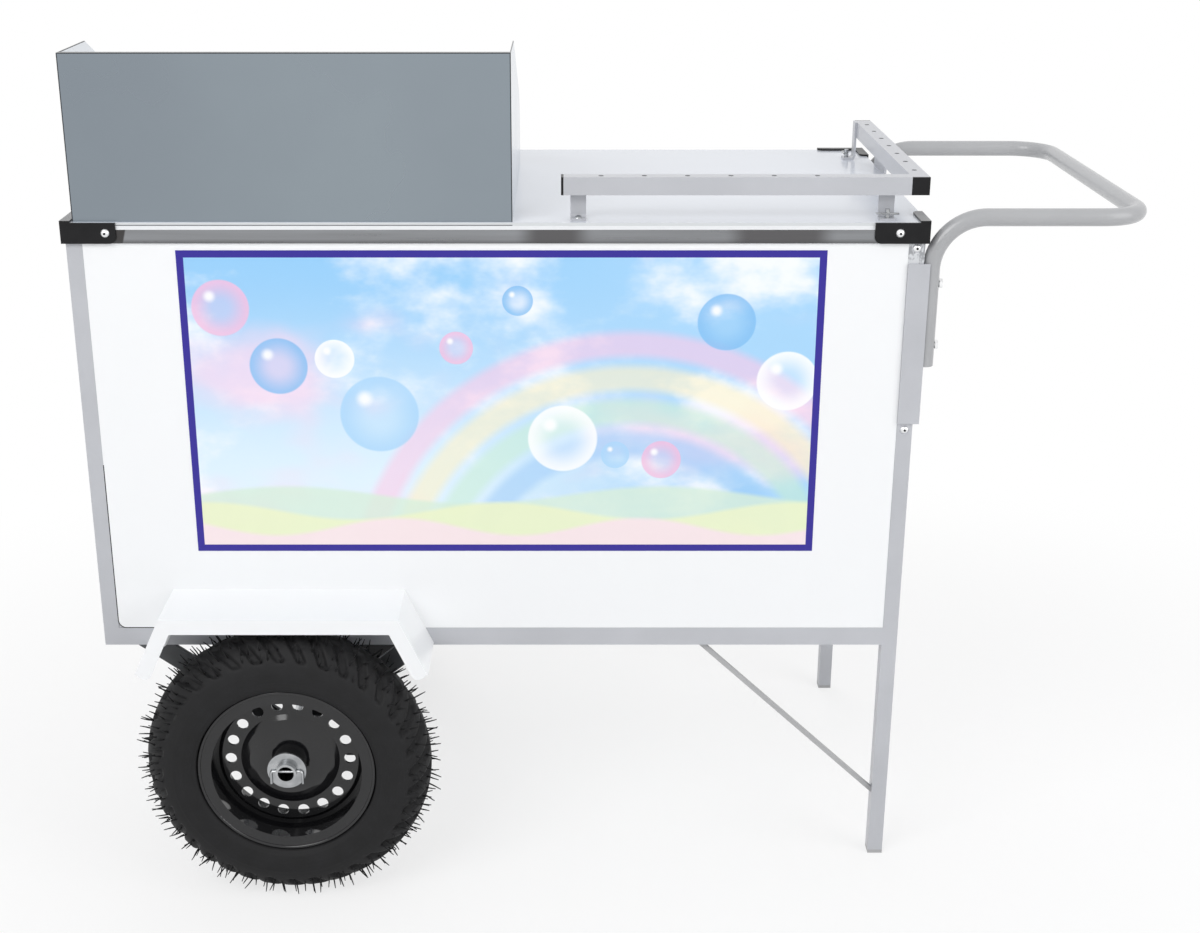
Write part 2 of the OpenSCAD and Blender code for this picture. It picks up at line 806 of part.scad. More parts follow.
module door_pull() {
    bar_y = door_face + pull_room + pull_r;
    color(bright_zinc) {
        translate([pull_x, bar_y, pull_z]) cylinder(r = pull_r, h = pull_l);
        for (z = [pull_z + 2 * pull_r, pull_z + pull_l - 2 * pull_r])
            translate([pull_x, 0, z]) rod_y(pull_r, door_face, bar_y);
    }
}

// Turn button, shown released: its boss turns on the panel and its tail is headed inside
module door_turn_button() {
    color(bright_zinc) translate([button_x, 0, button_z]) {
        rod_y(button_boss_r, y_back + slide_gap, button_face + button_t);
        rod_y(dome_shank_r, y_back - panel_t - slide_gap - button_t, y_back + 2 * slide_gap);
        rod_y(button_boss_r, y_back - panel_t - slide_gap - button_t, y_back - panel_t - slide_gap);
        translate([-button_w / 2, button_face, -button_l / 2]) cube([button_w, button_t, button_l]);
    }
}

// Deck

// Block over the cabinet's plan, wider by over on every side
module plan_block(over, z0, z1) {
    translate([x_left - over, y_front - over, z0]) cube([body_l + 2 * over, body_d + 2 * over, z1 - z0]);
}

module deck_board() {
    color(board_brown) difference() {
        plan_block(deck_over - deck_frame_t, board_z, deck_frame_top);
        translate([spin_x, 0, board_z - cut]) cylinder(r = deck_hole_r, h = deck_frame_h);
    }
}

// Top sheet with its rim turned down over the deck's frame
module deck_sheet() {
    color(panel_white) difference() {
        plan_block(deck_over + deck_sheet_t, deck_rim_z, deck_h);
        plan_block(deck_over, deck_rim_z - cut, deck_frame_top);
        translate([spin_x, 0, deck_frame_top - cut]) cylinder(r = deck_hole_r, h = deck_sheet_t + 2 * cut);
    }
}

// Flat strip round the deck's frame, under the sheet's rim
module edge_trim() {
    color(trim_grey) difference() {
        plan_block(deck_over + trim_t, deck_frame_z, deck_rim_z);
        plan_block(deck_over, deck_frame_z - cut, deck_rim_z + cut);
    }
}

module cap_face(l, h) {
    difference() {
        square([l, h]);
        translate([l - cap_r, 0]) difference() {
            translate([0, -cut]) square([cap_r + cut, cap_r + cut]);
            translate([0, cap_r]) circle(cap_r);
        }
    }
}

// Corner cap of the front left corner; a rear cap has a flange along both sides
module corner_cap(screw_x, rear) {
    translate([x_left - cap_over, y_front - cap_over, deck_frame_z]) difference() {
        union() {
            stand_in() linear_extrude(cap_t) cap_face(cap_l, rear ? cap_h + cap_flange_t : cap_h);
            stand_right() linear_extrude(cap_t) cap_face(cap_side, cap_h + cap_flange_t);
            translate([0, 0, cap_h]) linear_extrude(cap_flange_t) {
                translate([cap_flange, 0]) rotate(90) cap_face(cap_side, cap_flange);
                if (rear) translate([0, cap_flange]) mirror([0, 1]) cap_face(cap_l, cap_flange);
            }
        }
        translate([screw_x, 0, cap_h / 2]) rod_y(dome_shank_r + seat_fit, -cut, cap_t + cut);
    }
}

module corner_caps() {
    color(cap_black) for (rear = [false, true]) mirror([0, rear ? 1 : 0, 0]) {
        corner_cap(cap_screw_left, rear);
        other_end() corner_cap(cap_screw_right, rear);
    }
}

// Screws of the corner caps and of the guard's folded feet
module deck_screws() {
    wing_x = guard_t + guard_foot / 2;
    foot_ys = [guard_d / 4, guard_d * 3 / 4];
    color(bright_zinc) {
        both_sides() for (x = [x_left - cap_over + cap_screw_left, x_right + cap_over - cap_screw_right])
            translate([x, y_front - cap_over, deck_frame_z + cap_h / 2]) rotate([90, 0, 0])
                dome_screw(cap_t);
        for (x = [wing_x, guard_w - wing_x], y = foot_ys)
            translate([x_left + guard_x + x, y_front + guard_y + y, deck_h + guard_t]) dome_screw(guard_t);
    }
}

// Wind guard

// Side outline of a wing: a level stretch, a straight fall and a round rear corner
module wing_outline() {
    mid_y = guard_d - guard_r;
    touch_y = mid_y + guard_r * sin(guard_fall);
    touch_z = guard_h - tan(guard_fall) * (touch_y - guard_level);
    mid_z = touch_z - guard_r * cos(guard_fall);
    polygon([
        [0, 0], [guard_d, 0], [guard_d, mid_z], [mid_y, mid_z],
        [touch_y, touch_z], [guard_level, guard_h], [0, guard_h]
    ]);
    translate([mid_y, mid_z]) intersection() {
        circle(guard_r);
        square(guard_r);
    }
}

module wind_guard() {
    hole_r = dome_shank_r + seat_fit;
    wing_x = guard_t + guard_foot / 2;
    foot_ys = [guard_d / 4, guard_d * 3 / 4];
    color(guard_grey) translate([x_left + guard_x, y_front + guard_y, deck_h]) difference() {
        union() {
            cube([guard_w, guard_t, guard_h]);
            translate([0, 0, guard_h - guard_t]) cube([guard_w, guard_hem, guard_t]);
            for (x = [0, guard_w - guard_t]) translate([x, 0, 0]) stand_right()
                linear_extrude(guard_t) wing_outline();
            for (x = [0, guard_w - guard_t - guard_foot]) translate([x, 0, 0])
                cube([guard_t + guard_foot, guard_d, guard_t]);
        }
        for (x = [wing_x, guard_w - wing_x], y = foot_ys)
            translate([x, y, -cut]) cylinder(r = hole_r, h = guard_t + 2 * cut);
    }
}

// Stick rack

module rack_front_tube() {
    half = rack_tube / 2;
    start = rack_front_x - plug_t + stick_start;
    color(frame_grey) difference() {
        translate([rack_front_x, y_front + rack_y, rack_z]) tube_x(rack_tube, rack_tube, rack_front_l);
        for (i = [0:stick_front_n - 1])
            translate([start + i * stick_front_pitch, y_front + rack_y + half, rack_z + half])
                cylinder(r = stick_r, h = rack_tube);
    }
}

module rack_side_tube() {
    half = rack_tube / 2;
    start = rack_side_y - plug_t + stick_start;
    color(frame_grey) difference() {
        translate([rack_side_x, rack_side_y, rack_z]) tube_y(rack_tube, rack_tube, rack_side_l);
        for (i = [0:stick_side_n - 1])
            translate([rack_side_x + half, start + i * stick_side_pitch, rack_z + half])
                cylinder(r = stick_r, h = rack_tube);
    }
}

// Side view of a strap foot: an upright, a round bend and a foot along -x
module strap_outline(h) {
    outer = strap_bend + strap_t;
    translate([-strap_t, outer]) square([strap_t, h - outer]);
    translate([-strap_foot, 0]) square([strap_foot - outer, strap_t]);
    intersection() {
        translate([-outer, outer]) difference() {
            circle(outer);
            circle(strap_bend);
        }
        translate([-outer, 0]) square([outer, outer]);
    }
}

module rack_feet() {
    hole_r = stud_r + seat_fit;
    plate_z = deck_frame_z + side_plate_z;
    color(frame_grey) {
        for (x = strap_xs) difference() {
            translate([x, strap_y, deck_h]) stand_right() linear_extrude(strap_w) strap_outline(rack_lift);
            translate([x + strap_w / 2, stud_y, deck_h - cut]) cylinder(r = hole_r, h = strap_t + 2 * cut);
        }
        difference() {
            translate([rack_side_x, back_strap_y, deck_h]) stand_in()
                linear_extrude(strap_w) strap_outline(rack_lift + rack_tube);
            translate([back_stud_x, back_strap_y + strap_w / 2, deck_h - cut])
                cylinder(r = hole_r, h = strap_t + 2 * cut);
        }
        translate([rack_right, y_front + side_plate_y, plate_z])
            cube([strap_t, side_plate_w, rack_z + side_plate_lap - plate_z]);
    }
}

// Plugs of the rack's open tube ends
module rack_plugs() {
    inner = rack_tube - 2 * tube_t - 2 * seat_fit;
    side = tube_t + seat_fit;
    color(cap_black) {
        translate([rack_front_x - plug_t, y_front + rack_y, rack_z]) {
            cube([plug_t, rack_tube, rack_tube]);
            translate([0, side, side]) cube([plug_t + plug_l, inner, inner]);
        }
        for (end = [0, 1])
            translate([rack_side_x, rack_side_y + end * rack_side_l, rack_z]) mirror([0, end, 0]) {
                translate([0, -plug_t, 0]) cube([rack_tube, plug_t, rack_tube]);
                translate([side, -plug_t, side]) cube([inner, plug_t + plug_l, inner]);
            }
    }
}

// Studs on the deck: the left one has a dome head, the others are cross-drilled for a clip
module rack_studs() {
    left_x = strap_xs[0] + strap_w / 2;
    color(bright_zinc) {
        translate([left_x, stud_y, deck_h + strap_t]) dome_screw(strap_t);
        translate([strap_xs[1] + strap_w / 2, stud_y, 0]) cross_stud(0);
        translate([back_stud_x, back_strap_y + strap_w / 2, 0]) cross_stud(90);
    }
}

module cross_stud(turn) {
    difference() {
        translate([0, 0, deck_h]) cylinder(r = stud_r, h = strap_t + stud_h);
        translate([0, 0, clip_z]) rotate([0, 0, turn]) rod_x(clip_r + run_fit, -stud_r - cut, stud_r + cut);
    }
}

module rack_clips() {
    gap = stud_r + clip_r + slide_gap;
    color(bright_zinc) {
        translate([strap_xs[1] + strap_w / 2, stud_y, clip_z]) wire_clip(clip_r, clip_l, -gap);
        translate([back_stud_x, back_strap_y + strap_w / 2, clip_z]) rotate([0, 0, 90])
            wire_clip(clip_r, clip_l, gap);
    }
}

// Push handle

// Centre line of the handle as solid rods of radius r; the uprights run past their ends by extra
module handle_path(r, extra) {
    top_x = handle_x + handle_bend;
    top_z = handle_z - handle_bend;
    corner_x = handle_out_x - handle_corner;
    corner_y = handle_y + handle_corner;
    both_sides() {
        translate([handle_x, handle_y, handle_low_z - extra])
            cylinder(r = r, h = top_z - handle_low_z + extra);
        translate([top_x, handle_y, top_z]) rotate([90, 0, 0]) rotate([0, 0, 90]) rotate_extrude(angle = 90)
            translate([handle_bend, 0]) circle(r);
        translate([0, handle_y, handle_z]) rod_x(r, top_x, corner_x);
        translate([corner_x, corner_y, handle_z]) rotate([0, 0, -90]) rotate_extrude(angle = 90)
            translate([handle_corner, 0]) circle(r);
        translate([handle_out_x, 0, handle_z]) rod_y(r, corner_y, 0);
    }
}

module handle_tube() {
    color(frame_grey) difference() {
        handle_path(handle_r, 0);
        handle_path(handle_r - handle_t, cut);
        both_sides() for (z = bolt_zs) translate([0, handle_y, z])
            rod_x(bolt_r + seat_fit, handle_x - handle_r - cut, handle_x + handle_r + cut);
    }
}

// Clamp plates before and behind each leg, hollowed where they lap over the handle's tube
module handle_sleeves() {
    color(frame_grey) both_sides() difference() {
        for (y = [y_front - sleeve_t, y_front + tube]) translate([x_right - tube, y, sleeve_z])
            cube([tube + sleeve_out, sleeve_t, sleeve_l]);
        translate([handle_x, handle_y, sleeve_z - cut])
            cylinder(r = handle_r + seat_fit, h = sleeve_l + 2 * cut);
    }
}

module handle_bolts() {
    head_x = handle_x + handle_r;
    head_h = 4;
    color(bright_zinc) both_sides() {
        for (z = bolt_zs) translate([0, handle_y, z]) {
            rod_x(bolt_r, x_right - tube / 2, head_x + head_h / 2);
            translate([head_x, 0, 0]) rotate([0, 90, 0]) cylinder(r = 2 * bolt_r, h = head_h, $fn = 6);
        }
        for (z = leg_dome_zs) translate([x_right - tube / 2, y_front, z]) rotate([90, 0, 0])
            dome_screw(tube_t);
    }
}

// Wheels, drawn with the axle along z and the outside of the cart at +z

module at_front_wheel() {
    translate([axle_x, wheel_y, wheel_r]) rotate([90, 0, 0]) children();
}

module at_back_wheel() {
    mirror([0, 1, 0]) at_front_wheel() children();
}

module tyre() {
    color(tyre_black) rotate_extrude($fn = 128) difference() {
        union() {
            translate([tyre_mid_r, 0]) circle(tyre_w / 2);
            polygon([
                [tyre_mid_r, -tread_half], [wheel_r - shoulder_drop, -tread_half],
                [wheel_r - shoulder_drop / 4, -tread_half / 2], [wheel_r, 0],
                [wheel_r - shoulder_drop / 4, tread_half / 2], [wheel_r - shoulder_drop, tread_half],
                [tyre_mid_r, tread_half]
            ]);
            for (z = [-rim_w / 2, rim_w / 2 - tyre_bead]) translate([rim_seat_r, z])
                square([tyre_mid_r - rim_seat_r, tyre_bead]);
        }
        translate([tyre_mid_r, 0]) circle(tyre_w / 2 - tyre_t);
        square([2 * (rim_seat_r + seat_fit), rim_w], center = true);
        square([2 * tyre_mid_r, rim_w - 2 * tyre_bead], center = true);
        for (side = [-1, 1]) translate([0, side * (rim_w / 2 + tyre_w / 2 - seat_fit)])
            square([2 * (rim_r + slide_gap), tyre_w], center = true);
    }
}

module inner_tube() {
    outer = tyre_w / 2 - tyre_t - slide_gap;
    wall = 2;
    valve_top = tyre_mid_r - outer + wall;
    color(tyre_black) {
        rotate_extrude() translate([tyre_mid_r, 0]) difference() {
            circle(outer);
            circle(outer - wall);
        }
        translate([0, 0, valve_z]) rod_x(valve_r, valve_top - valve_l, valve_top + outer / 2);
    }
}

// Dished disc with its ring of holes, and the channel that carries the tyre
module rim() {
    lip = 2.5;
    half = rim_w / 2;
    well = rim_seat_r - rim_t;
    hole_r = valve_r + slide_gap;
    color(rim_black) difference() {
        union() {
            rotate_extrude() {
                translate([well, -half]) square([rim_t, rim_w]);
                for (side = [-1, 1]) {
                    translate([well, side < 0 ? -half - rim_t : half]) square([rim_r - well - lip, rim_t]);
                    translate([rim_r - lip, side * (half + lip)]) circle(lip);
                }
            }
            rotate_extrude() polygon(concat(
                disc_line, [for (i = [len(disc_line) - 1:-1:0]) disc_line[i] + [0, rim_t]]
            ));
        }
        for (i = [0:disc_n - 1]) rotate([0, 0, i * 360 / disc_n])
            translate([disc_pitch_r, 0, disc_ring_z - cut]) cylinder(r = disc_hole_r, h = rim_t + 2 * cut);
        translate([0, 0, valve_z]) rod_x(hole_r, well - cut, rim_seat_r + cut);
    }
}

// Inner face of the disc, from the hub over the dome out to the channel, as radius and reach
disc_line = concat(
    [[hub_r + seat_fit, disc_ring_z + disc_dome]],
    [for (i = [0:disc_steps]) let (part = i / disc_steps)
        [disc_hub_r + (disc_ring_in - disc_hub_r) * part, disc_ring_z + disc_dome * (1 - part * part)]],
    [[disc_ring_out, disc_ring_z]],
    [for (back = [2, 1]) [rim_seat_r - back * rim_t, disc_outer_z]]
);

module hub() {
    color(rim_black) translate([0, 0, -hub_in]) difference() {
        cylinder(r = hub_r, h = hub_in + hub_out);
        translate([0, 0, -cut]) cylinder(r = hub_r - hub_t, h = hub_in + hub_out + 2 * cut);
    }
}

module bushes() {
    color(brass_gold) for (z = [-hub_in, hub_out - bush_l]) translate([0, 0, z]) difference() {
        cylinder(r = hub_r - hub_t - run_fit, h = bush_l);
        translate([0, 0, -cut]) cylinder(r = axle_r + run_fit, h = bush_l + 2 * cut);
    }
}

module front_tyre() {
    at_front_wheel() tyre();
}

module front_inner_tube() {
    at_front_wheel() inner_tube();
}

module front_rim() {
    at_front_wheel() rim();
}

module front_hub() {
    at_front_wheel() hub();
}

module front_bushes() {
    at_front_wheel() bushes();
}

module back_tyre() {
    at_back_wheel() tyre();
}

module back_inner_tube() {
    at_back_wheel() inner_tube();
}

module back_rim() {
    at_back_wheel() rim();
}

module back_hub() {
    at_back_wheel() hub();
}

module back_bushes() {
    at_back_wheel() bushes();
}

// Axle

module axle() {
    half = body_d / 2 + wheel_off + axle_tip;
    pin_y = body_d / 2 + wheel_off + pin_at;
    color(bright_zinc) translate([axle_x, 0, wheel_r]) difference() {
        rod_y(axle_r, -half, half);
        rod_y(axle_bore_r, -half - cut, half + cut);
        both_sides() translate([0, pin_y, 0]) rod_x(axle_pin_r + run_fit, -axle_r - cut, axle_r + cut);
    }
}

// Arm from the axle up to the rail, its upper end centred at end
module bracket_arm(end, depth) {
    half = bracket_w / 2 * sqrt(pow(end, 2) + pow(depth, 2)) / depth;
    polygon([[end - half, depth], [end + half, depth], [half, 0], [-half, 0]]);
}

module axle_brackets() {
    depth = rail_z - wheel_r;
    boss_l = wheel_off + boss_end + bracket_y;
    color(dark_steel) both_sides() translate([axle_x, y_front + bracket_y, wheel_r]) difference() {
        union() {
            stand_in() linear_extrude(bracket_t) {
                for (end = [-bracket_left, bracket_right]) bracket_arm(end, depth);
                circle(bracket_boss_r);
            }
            rod_y(bracket_boss_r, -boss_l, bracket_t);
        }
        rod_y(axle_r + seat_fit, -boss_l - cut, bracket_t + cut);
    }
}

module axle_washers() {
    color(bright_zinc) both_sides() at_front_wheel() for (z = [washer_in, washer_out])
        translate([0, 0, z]) difference() {
            cylinder(r = washer_r, h = washer_t);
            translate([0, 0, -cut]) cylinder(r = axle_r + seat_fit, h = washer_t + 2 * cut);
        }
}

// Wire through the axle with both ends bent down before the washer
module axle_pins() {
    bend = 2 * axle_pin_r;
    half = axle_r + bend;
    color(bright_zinc) both_sides() at_front_wheel() translate([0, 0, pin_at]) {
        rod_x(axle_pin_r, -half, half);
        for (side = [0, 1]) mirror([side, 0, 0]) translate([half, -bend, 0]) {
            rotate_extrude(angle = 90) translate([bend, 0]) circle(axle_pin_r);
            translate([bend, 0, 0]) rod_y(axle_pin_r, -axle_pin_l, 0);
        }
    }
}

// Fenders

// Band of width w under the fender's outline: a flat top and two leaning tails with ends of radius r
module fender_band(w, r) {
    top = fender_top / 2;
    run = (fender_tails - fender_top) / 2;
    slant = sqrt(pow(run, 2) + pow(fender_drop, 2));
    inner_top = top - w * (slant - run) / fender_drop;
    polygon([[-top, fender_z], [top, fender_z], [inner_top, fender_z - w], [-inner_top, fender_z - w]]);
    for (side = [0, 1]) mirror([side, 0]) translate([top, fender_z]) rotate(atan2(run, fender_drop))
        translate([-w, -slant]) tray_outline(w, slant, r);
}

module fender() {
    color(panel_white) translate([axle_x, y_front - fender_out, 0]) stand_in() {
        linear_extrude(fender_out) fender_band(fender_t, fender_t / 4);
        linear_extrude(fender_t) fender_band(fender_lip, fender_r);
        translate([0, 0, fender_out - fender_t]) linear_extrude(fender_t) fender_band(fender_lip, fender_r);
    }
}

module fender_front() {
    fender();
}

module fender_back() {
    mirror([0, 1, 0]) fender();
}

// Spinner

module bowl() {
    hole = deck_hole_r;
    color(spun_aluminium) translate([spin_x, 0, deck_h]) rotate_extrude($fn = 128) polygon([
        [hole, 0], [bowl_base_r, 0], [bowl_r, bowl_h - bowl_t], [bowl_r + bowl_rim, bowl_h - bowl_t],
        [bowl_r + bowl_rim, bowl_h], [bowl_r - bowl_t, bowl_h], [bowl_base_r - bowl_t, bowl_t],
        [hole + bowl_t, bowl_t], [hole + bowl_t, bowl_collar], [hole, bowl_collar]
    ]);
}

// Rotating head: a base with a hub, six posts and an open cap
module spinner_head() {
    hub_r = 2 * shaft_r;
    hub_l = 16;
    posts = 6;
    post_r = 2.5;
    post_at = heater_r - heater_t - post_r - 2;
    color(spun_aluminium) translate([spin_x, 0, head_base_z]) difference() {
        union() {
            cylinder(r = head_r, h = head_t);
            translate([0, 0, -hub_l]) cylinder(r = hub_r, h = hub_l + head_t);
            translate([0, 0, head_t + heater_h]) difference() {
                cylinder(r = head_r, h = head_t);
                translate([0, 0, -cut]) cylinder(r = head_hole_r, h = head_t + 2 * cut);
            }
            for (i = [0:posts - 1]) rotate([0, 0, i * 360 / posts]) translate([post_at, 0, 0])
                cylinder(r = post_r, h = 2 * head_t + heater_h);
        }
        translate([0, 0, -hub_l - cut]) cylinder(r = shaft_r + run_fit, h = hub_l + head_t + 2 * cut);
    }
}

module heater_band() {
    slot_w = 4;
    slot_h = heater_h - 10;
    color(brass_gold) translate([spin_x, 0, head_base_z + head_t]) difference() {
        cylinder(r = heater_r, h = heater_h);
        translate([0, 0, -cut]) cylinder(r = heater_r - heater_t, h = heater_h + 2 * cut);
        for (i = [0:heater_n - 1]) rotate([0, 0, i * 360 / heater_n])
            translate([heater_r - heater_t - cut, -slot_w / 2, (heater_h - slot_h) / 2])
                cube([heater_t + 2 * cut, slot_w, slot_h]);
    }
}

// Shaft from the motor up to the head, with the motor's rotor on it
module spinner_shaft() {
    tail = 12;
    color(dark_steel) translate([spin_x, 0, 0]) {
        translate([0, 0, motor_z - tail]) cylinder(r = shaft_r, h = head_base_z + head_t - motor_z + tail);
        translate([0, 0, motor_z + (motor_h - rotor_h) / 2]) cylinder(r = rotor_r, h = rotor_h);
    }
}

module slip_rings() {
    color(brass_gold) for (z = ring_zs) translate([spin_x, 0, z]) difference() {
        cylinder(r = ring_r, h = ring_h);
        translate([0, 0, -cut]) cylinder(r = shaft_r + run_fit, h = ring_h + 2 * cut);
    }
}

// Block on the mounting plate whose two brushes touch the slip rings
module brush_block() {
    block_x = ring_r + 8;
    block_w = 14;
    brush_w = 10;
    top = ring_zs[1] + ring_h;
    color(cap_black) translate([spin_x, 0, 0]) difference() {
        union() {
            translate([block_x, -block_w / 2, mount_z + mount_t])
                cube([block_w, block_w, top - mount_z - mount_t]);
            for (z = ring_zs) translate([0, -brush_w / 2, z + 1])
                cube([block_x + cut, brush_w, ring_h - 2]);
        }
        translate([0, 0, mount_z]) cylinder(r = ring_r + run_fit, h = top);
    }
}

module motor_housing() {
    cavity = rotor_r + slide_gap;
    color(dark_steel) translate([spin_x, 0, motor_z]) difference() {
        cylinder(r = motor_r, h = motor_h);
        translate([0, 0, motor_end]) cylinder(r = cavity, h = motor_h - 2 * motor_end);
        translate([0, 0, -cut]) cylinder(r = shaft_r + run_fit, h = motor_h + 2 * cut);
    }
}

module motor_mount() {
    color(dark_steel) translate([spin_x, 0, mount_z]) difference() {
        union() {
            translate([-mount_w / 2, -mount_w / 2, 0]) cube([mount_w, mount_w, mount_t]);
            for (x = [-1, 1], y = [-1, 1]) translate([x * mount_post_at, y * mount_post_at, 0])
                cylinder(r = mount_post_r, h = mount_t + mount_post);
        }
        translate([0, 0, -cut]) cylinder(r = 2 * shaft_r, h = mount_t + 2 * cut);
    }
}

// Controls

module control_box() {
    color(dark_steel) difference() {
        translate([control_x0, y_back, control_z0]) cube([control_w, control_d, control_h]);
        translate([control_x0 + control_t, y_back - cut, control_z0 + control_t])
            cube([control_w - 2 * control_t, control_d - control_t + cut, control_h - 2 * control_t]);
        translate([knob_at[0], 0, knob_at[1]])
            rod_y(spindle_r + run_fit, control_face - control_t - cut, control_face + cut);
        translate([rocker_at[0] - rocker_l / 2 - slide_gap, control_face, rocker_at[1] - rocker_half])
            translate([0, -control_t - cut, 0])
            cube([rocker_l + 2 * slide_gap, control_t + 2 * cut, 2 * rocker_half]);
        translate([control_x0 - cut, inlet_y - seat_fit, inlet_z - seat_fit])
            cube([control_t + 2 * cut, inlet_w + 2 * seat_fit, inlet_h + 2 * seat_fit]);
    }
}

// Rocker drum with a finger groove across its face
module power_switch() {
    color(cap_black) translate([rocker_at[0], rocker_y, rocker_at[1]]) difference() {
        rod_x(rocker_r, -rocker_l / 2, rocker_l / 2);
        translate([0, rocker_r + rocker_out / 2, 0])
            rod_x(rocker_out, -rocker_l / 2 - cut, rocker_l / 2 + cut);
    }
}

module heat_knob() {
    back = control_face + slide_gap;
    inside = control_face - control_t - slide_gap;
    stop_t = 3;
    color(knob_red) translate([knob_at[0], 0, knob_at[1]]) difference() {
        union() {
            rod_y(knob_r, back, back + knob_h);
            rod_y(spindle_r, inside - stop_t, back + cut);
            rod_y(2 * spindle_r, inside - stop_t, inside);
        }
        translate([-1, back + knob_h - 1, 0]) cube([2, 2, knob_r + cut]);
    }
}

// Flanged socket in the box's left wall, with three contact pins in its well
module power_inlet() {
    flange = 4;
    wall = 2.5;
    well = 14;
    pin_l = 8;
    color(cap_black) translate([control_x0, inlet_y, inlet_z]) {
        difference() {
            union() {
                cube([inlet_d, inlet_w, inlet_h]);
                translate([-wall, -flange, -flange])
                    cube([wall, inlet_w + 2 * flange, inlet_h + 2 * flange]);
            }
            translate([-wall - cut, wall, wall])
                cube([well + wall + cut, inlet_w - 2 * wall, inlet_h - 2 * wall]);
        }
        for (y = [inlet_w / 4, inlet_w / 2, inlet_w * 3 / 4])
            translate([well - pin_l, y - 1, inlet_h / 2 - 2]) cube([pin_l + cut, 2, 4]);
    }
}

left_posts();
legs();
bottom_rails();
top_frame();
leg_braces();
leg_feet();
front_panel();
left_panel();
right_panel();
back_panel();
floor_panel();
banner();
back_door();
door_hinge_leaves();
door_knuckles();
door_pull();
door_turn_button();
deck_board();
deck_sheet();
edge_trim();
corner_caps();
deck_screws();
wind_guard();
rack_front_tube();
rack_side_tube();
rack_feet();
rack_plugs();
rack_studs();
rack_clips();
handle_tube();
handle_sleeves();
handle_bolts();
front_tyre();
front_inner_tube();
front_rim();
front_hub();
front_bushes();
back_tyre();
back_inner_tube();
back_rim();
back_hub();
back_bushes();
axle();
axle_brackets();
axle_washers();
axle_pins();
fender_front();
fender_back();
bowl();
spinner_head();
heater_band();
spinner_shaft();
slip_rings();
brush_block();
motor_housing();
motor_mount();
control_box();
power_switch();
heat_knob();
power_inlet();
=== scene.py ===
import math
import random

import bmesh
import bpy
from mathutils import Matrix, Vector


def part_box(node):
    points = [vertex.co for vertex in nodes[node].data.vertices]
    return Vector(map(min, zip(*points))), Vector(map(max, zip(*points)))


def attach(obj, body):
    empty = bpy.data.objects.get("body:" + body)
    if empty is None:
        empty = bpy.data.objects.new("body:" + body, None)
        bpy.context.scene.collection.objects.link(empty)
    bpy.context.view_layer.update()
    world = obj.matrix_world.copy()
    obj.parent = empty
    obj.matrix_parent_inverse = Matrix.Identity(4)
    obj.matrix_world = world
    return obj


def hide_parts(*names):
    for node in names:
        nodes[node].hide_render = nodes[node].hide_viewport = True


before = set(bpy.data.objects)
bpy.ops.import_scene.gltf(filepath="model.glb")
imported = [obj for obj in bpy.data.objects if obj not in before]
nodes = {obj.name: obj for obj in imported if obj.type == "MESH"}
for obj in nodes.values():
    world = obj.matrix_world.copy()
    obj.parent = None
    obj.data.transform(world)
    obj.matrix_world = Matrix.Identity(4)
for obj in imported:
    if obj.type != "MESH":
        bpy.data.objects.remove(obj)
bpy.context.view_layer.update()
scene = bpy.context.scene

X, Y, Z = Vector((1, 0, 0)), Vector((0, 1, 0)), Vector((0, 0, 1))

# Camera and lamps

CAM_PLACE = (-0.0555, -2.3612, 1.3397)
CAM_PITCH = 19.985
CAM_SENSOR = 36.0
CAM_LENS = 52.09
CAM_SHIFT = 0.02925

camera = bpy.data.objects.new("camera", bpy.data.cameras.new("camera"))
scene.collection.objects.link(camera)
camera.data.sensor_fit = "HORIZONTAL"
camera.data.sensor_width = CAM_SENSOR
camera.data.lens = CAM_LENS
camera.data.shift_x = CAM_SHIFT
camera.location = CAM_PLACE
camera.rotation_euler = (math.radians(90 - CAM_PITCH), 0, 0)
scene.camera = camera
scene.view_settings.view_transform = "Standard"

LAMP_AIM = Vector((0.0, 0.0, 0.6))
# Name, place, side length, watts, and whether gloss mirrors the lamp
LAMPS = (
    ("key", (-1.8, -2.6, 3.0), 2.2, 60, True),
    ("fill", (2.8, -2.0, 2.0), 2.4, 42, True),
    ("top", (0.2, 0.4, 3.4), 2.6, 16, False),
    ("rear", (-0.6, 3.0, 2.2), 2.4, 30, False),
)
for name, place, size, watts, mirrored in LAMPS:
    data = bpy.data.lights.new(name, "AREA")
    data.shape = "SQUARE"
    data.size = size
    data.energy = watts
    lamp = bpy.data.objects.new(name, data)
    scene.collection.objects.link(lamp)
    lamp.visible_glossy = mirrored
    lamp.location = place
    lamp.rotation_euler = (LAMP_AIM - Vector(place)).to_track_quat("-Z", "Y").to_euler()


# Node helpers

def srgb(r, g, b):
    """Linear colour of a 0-255 screen colour."""
    def line(c):
        c /= 255.0
        return c / 12.92 if c <= 0.04045 else ((c + 0.055) / 1.055) ** 2.4
    return line(r), line(g), line(b)


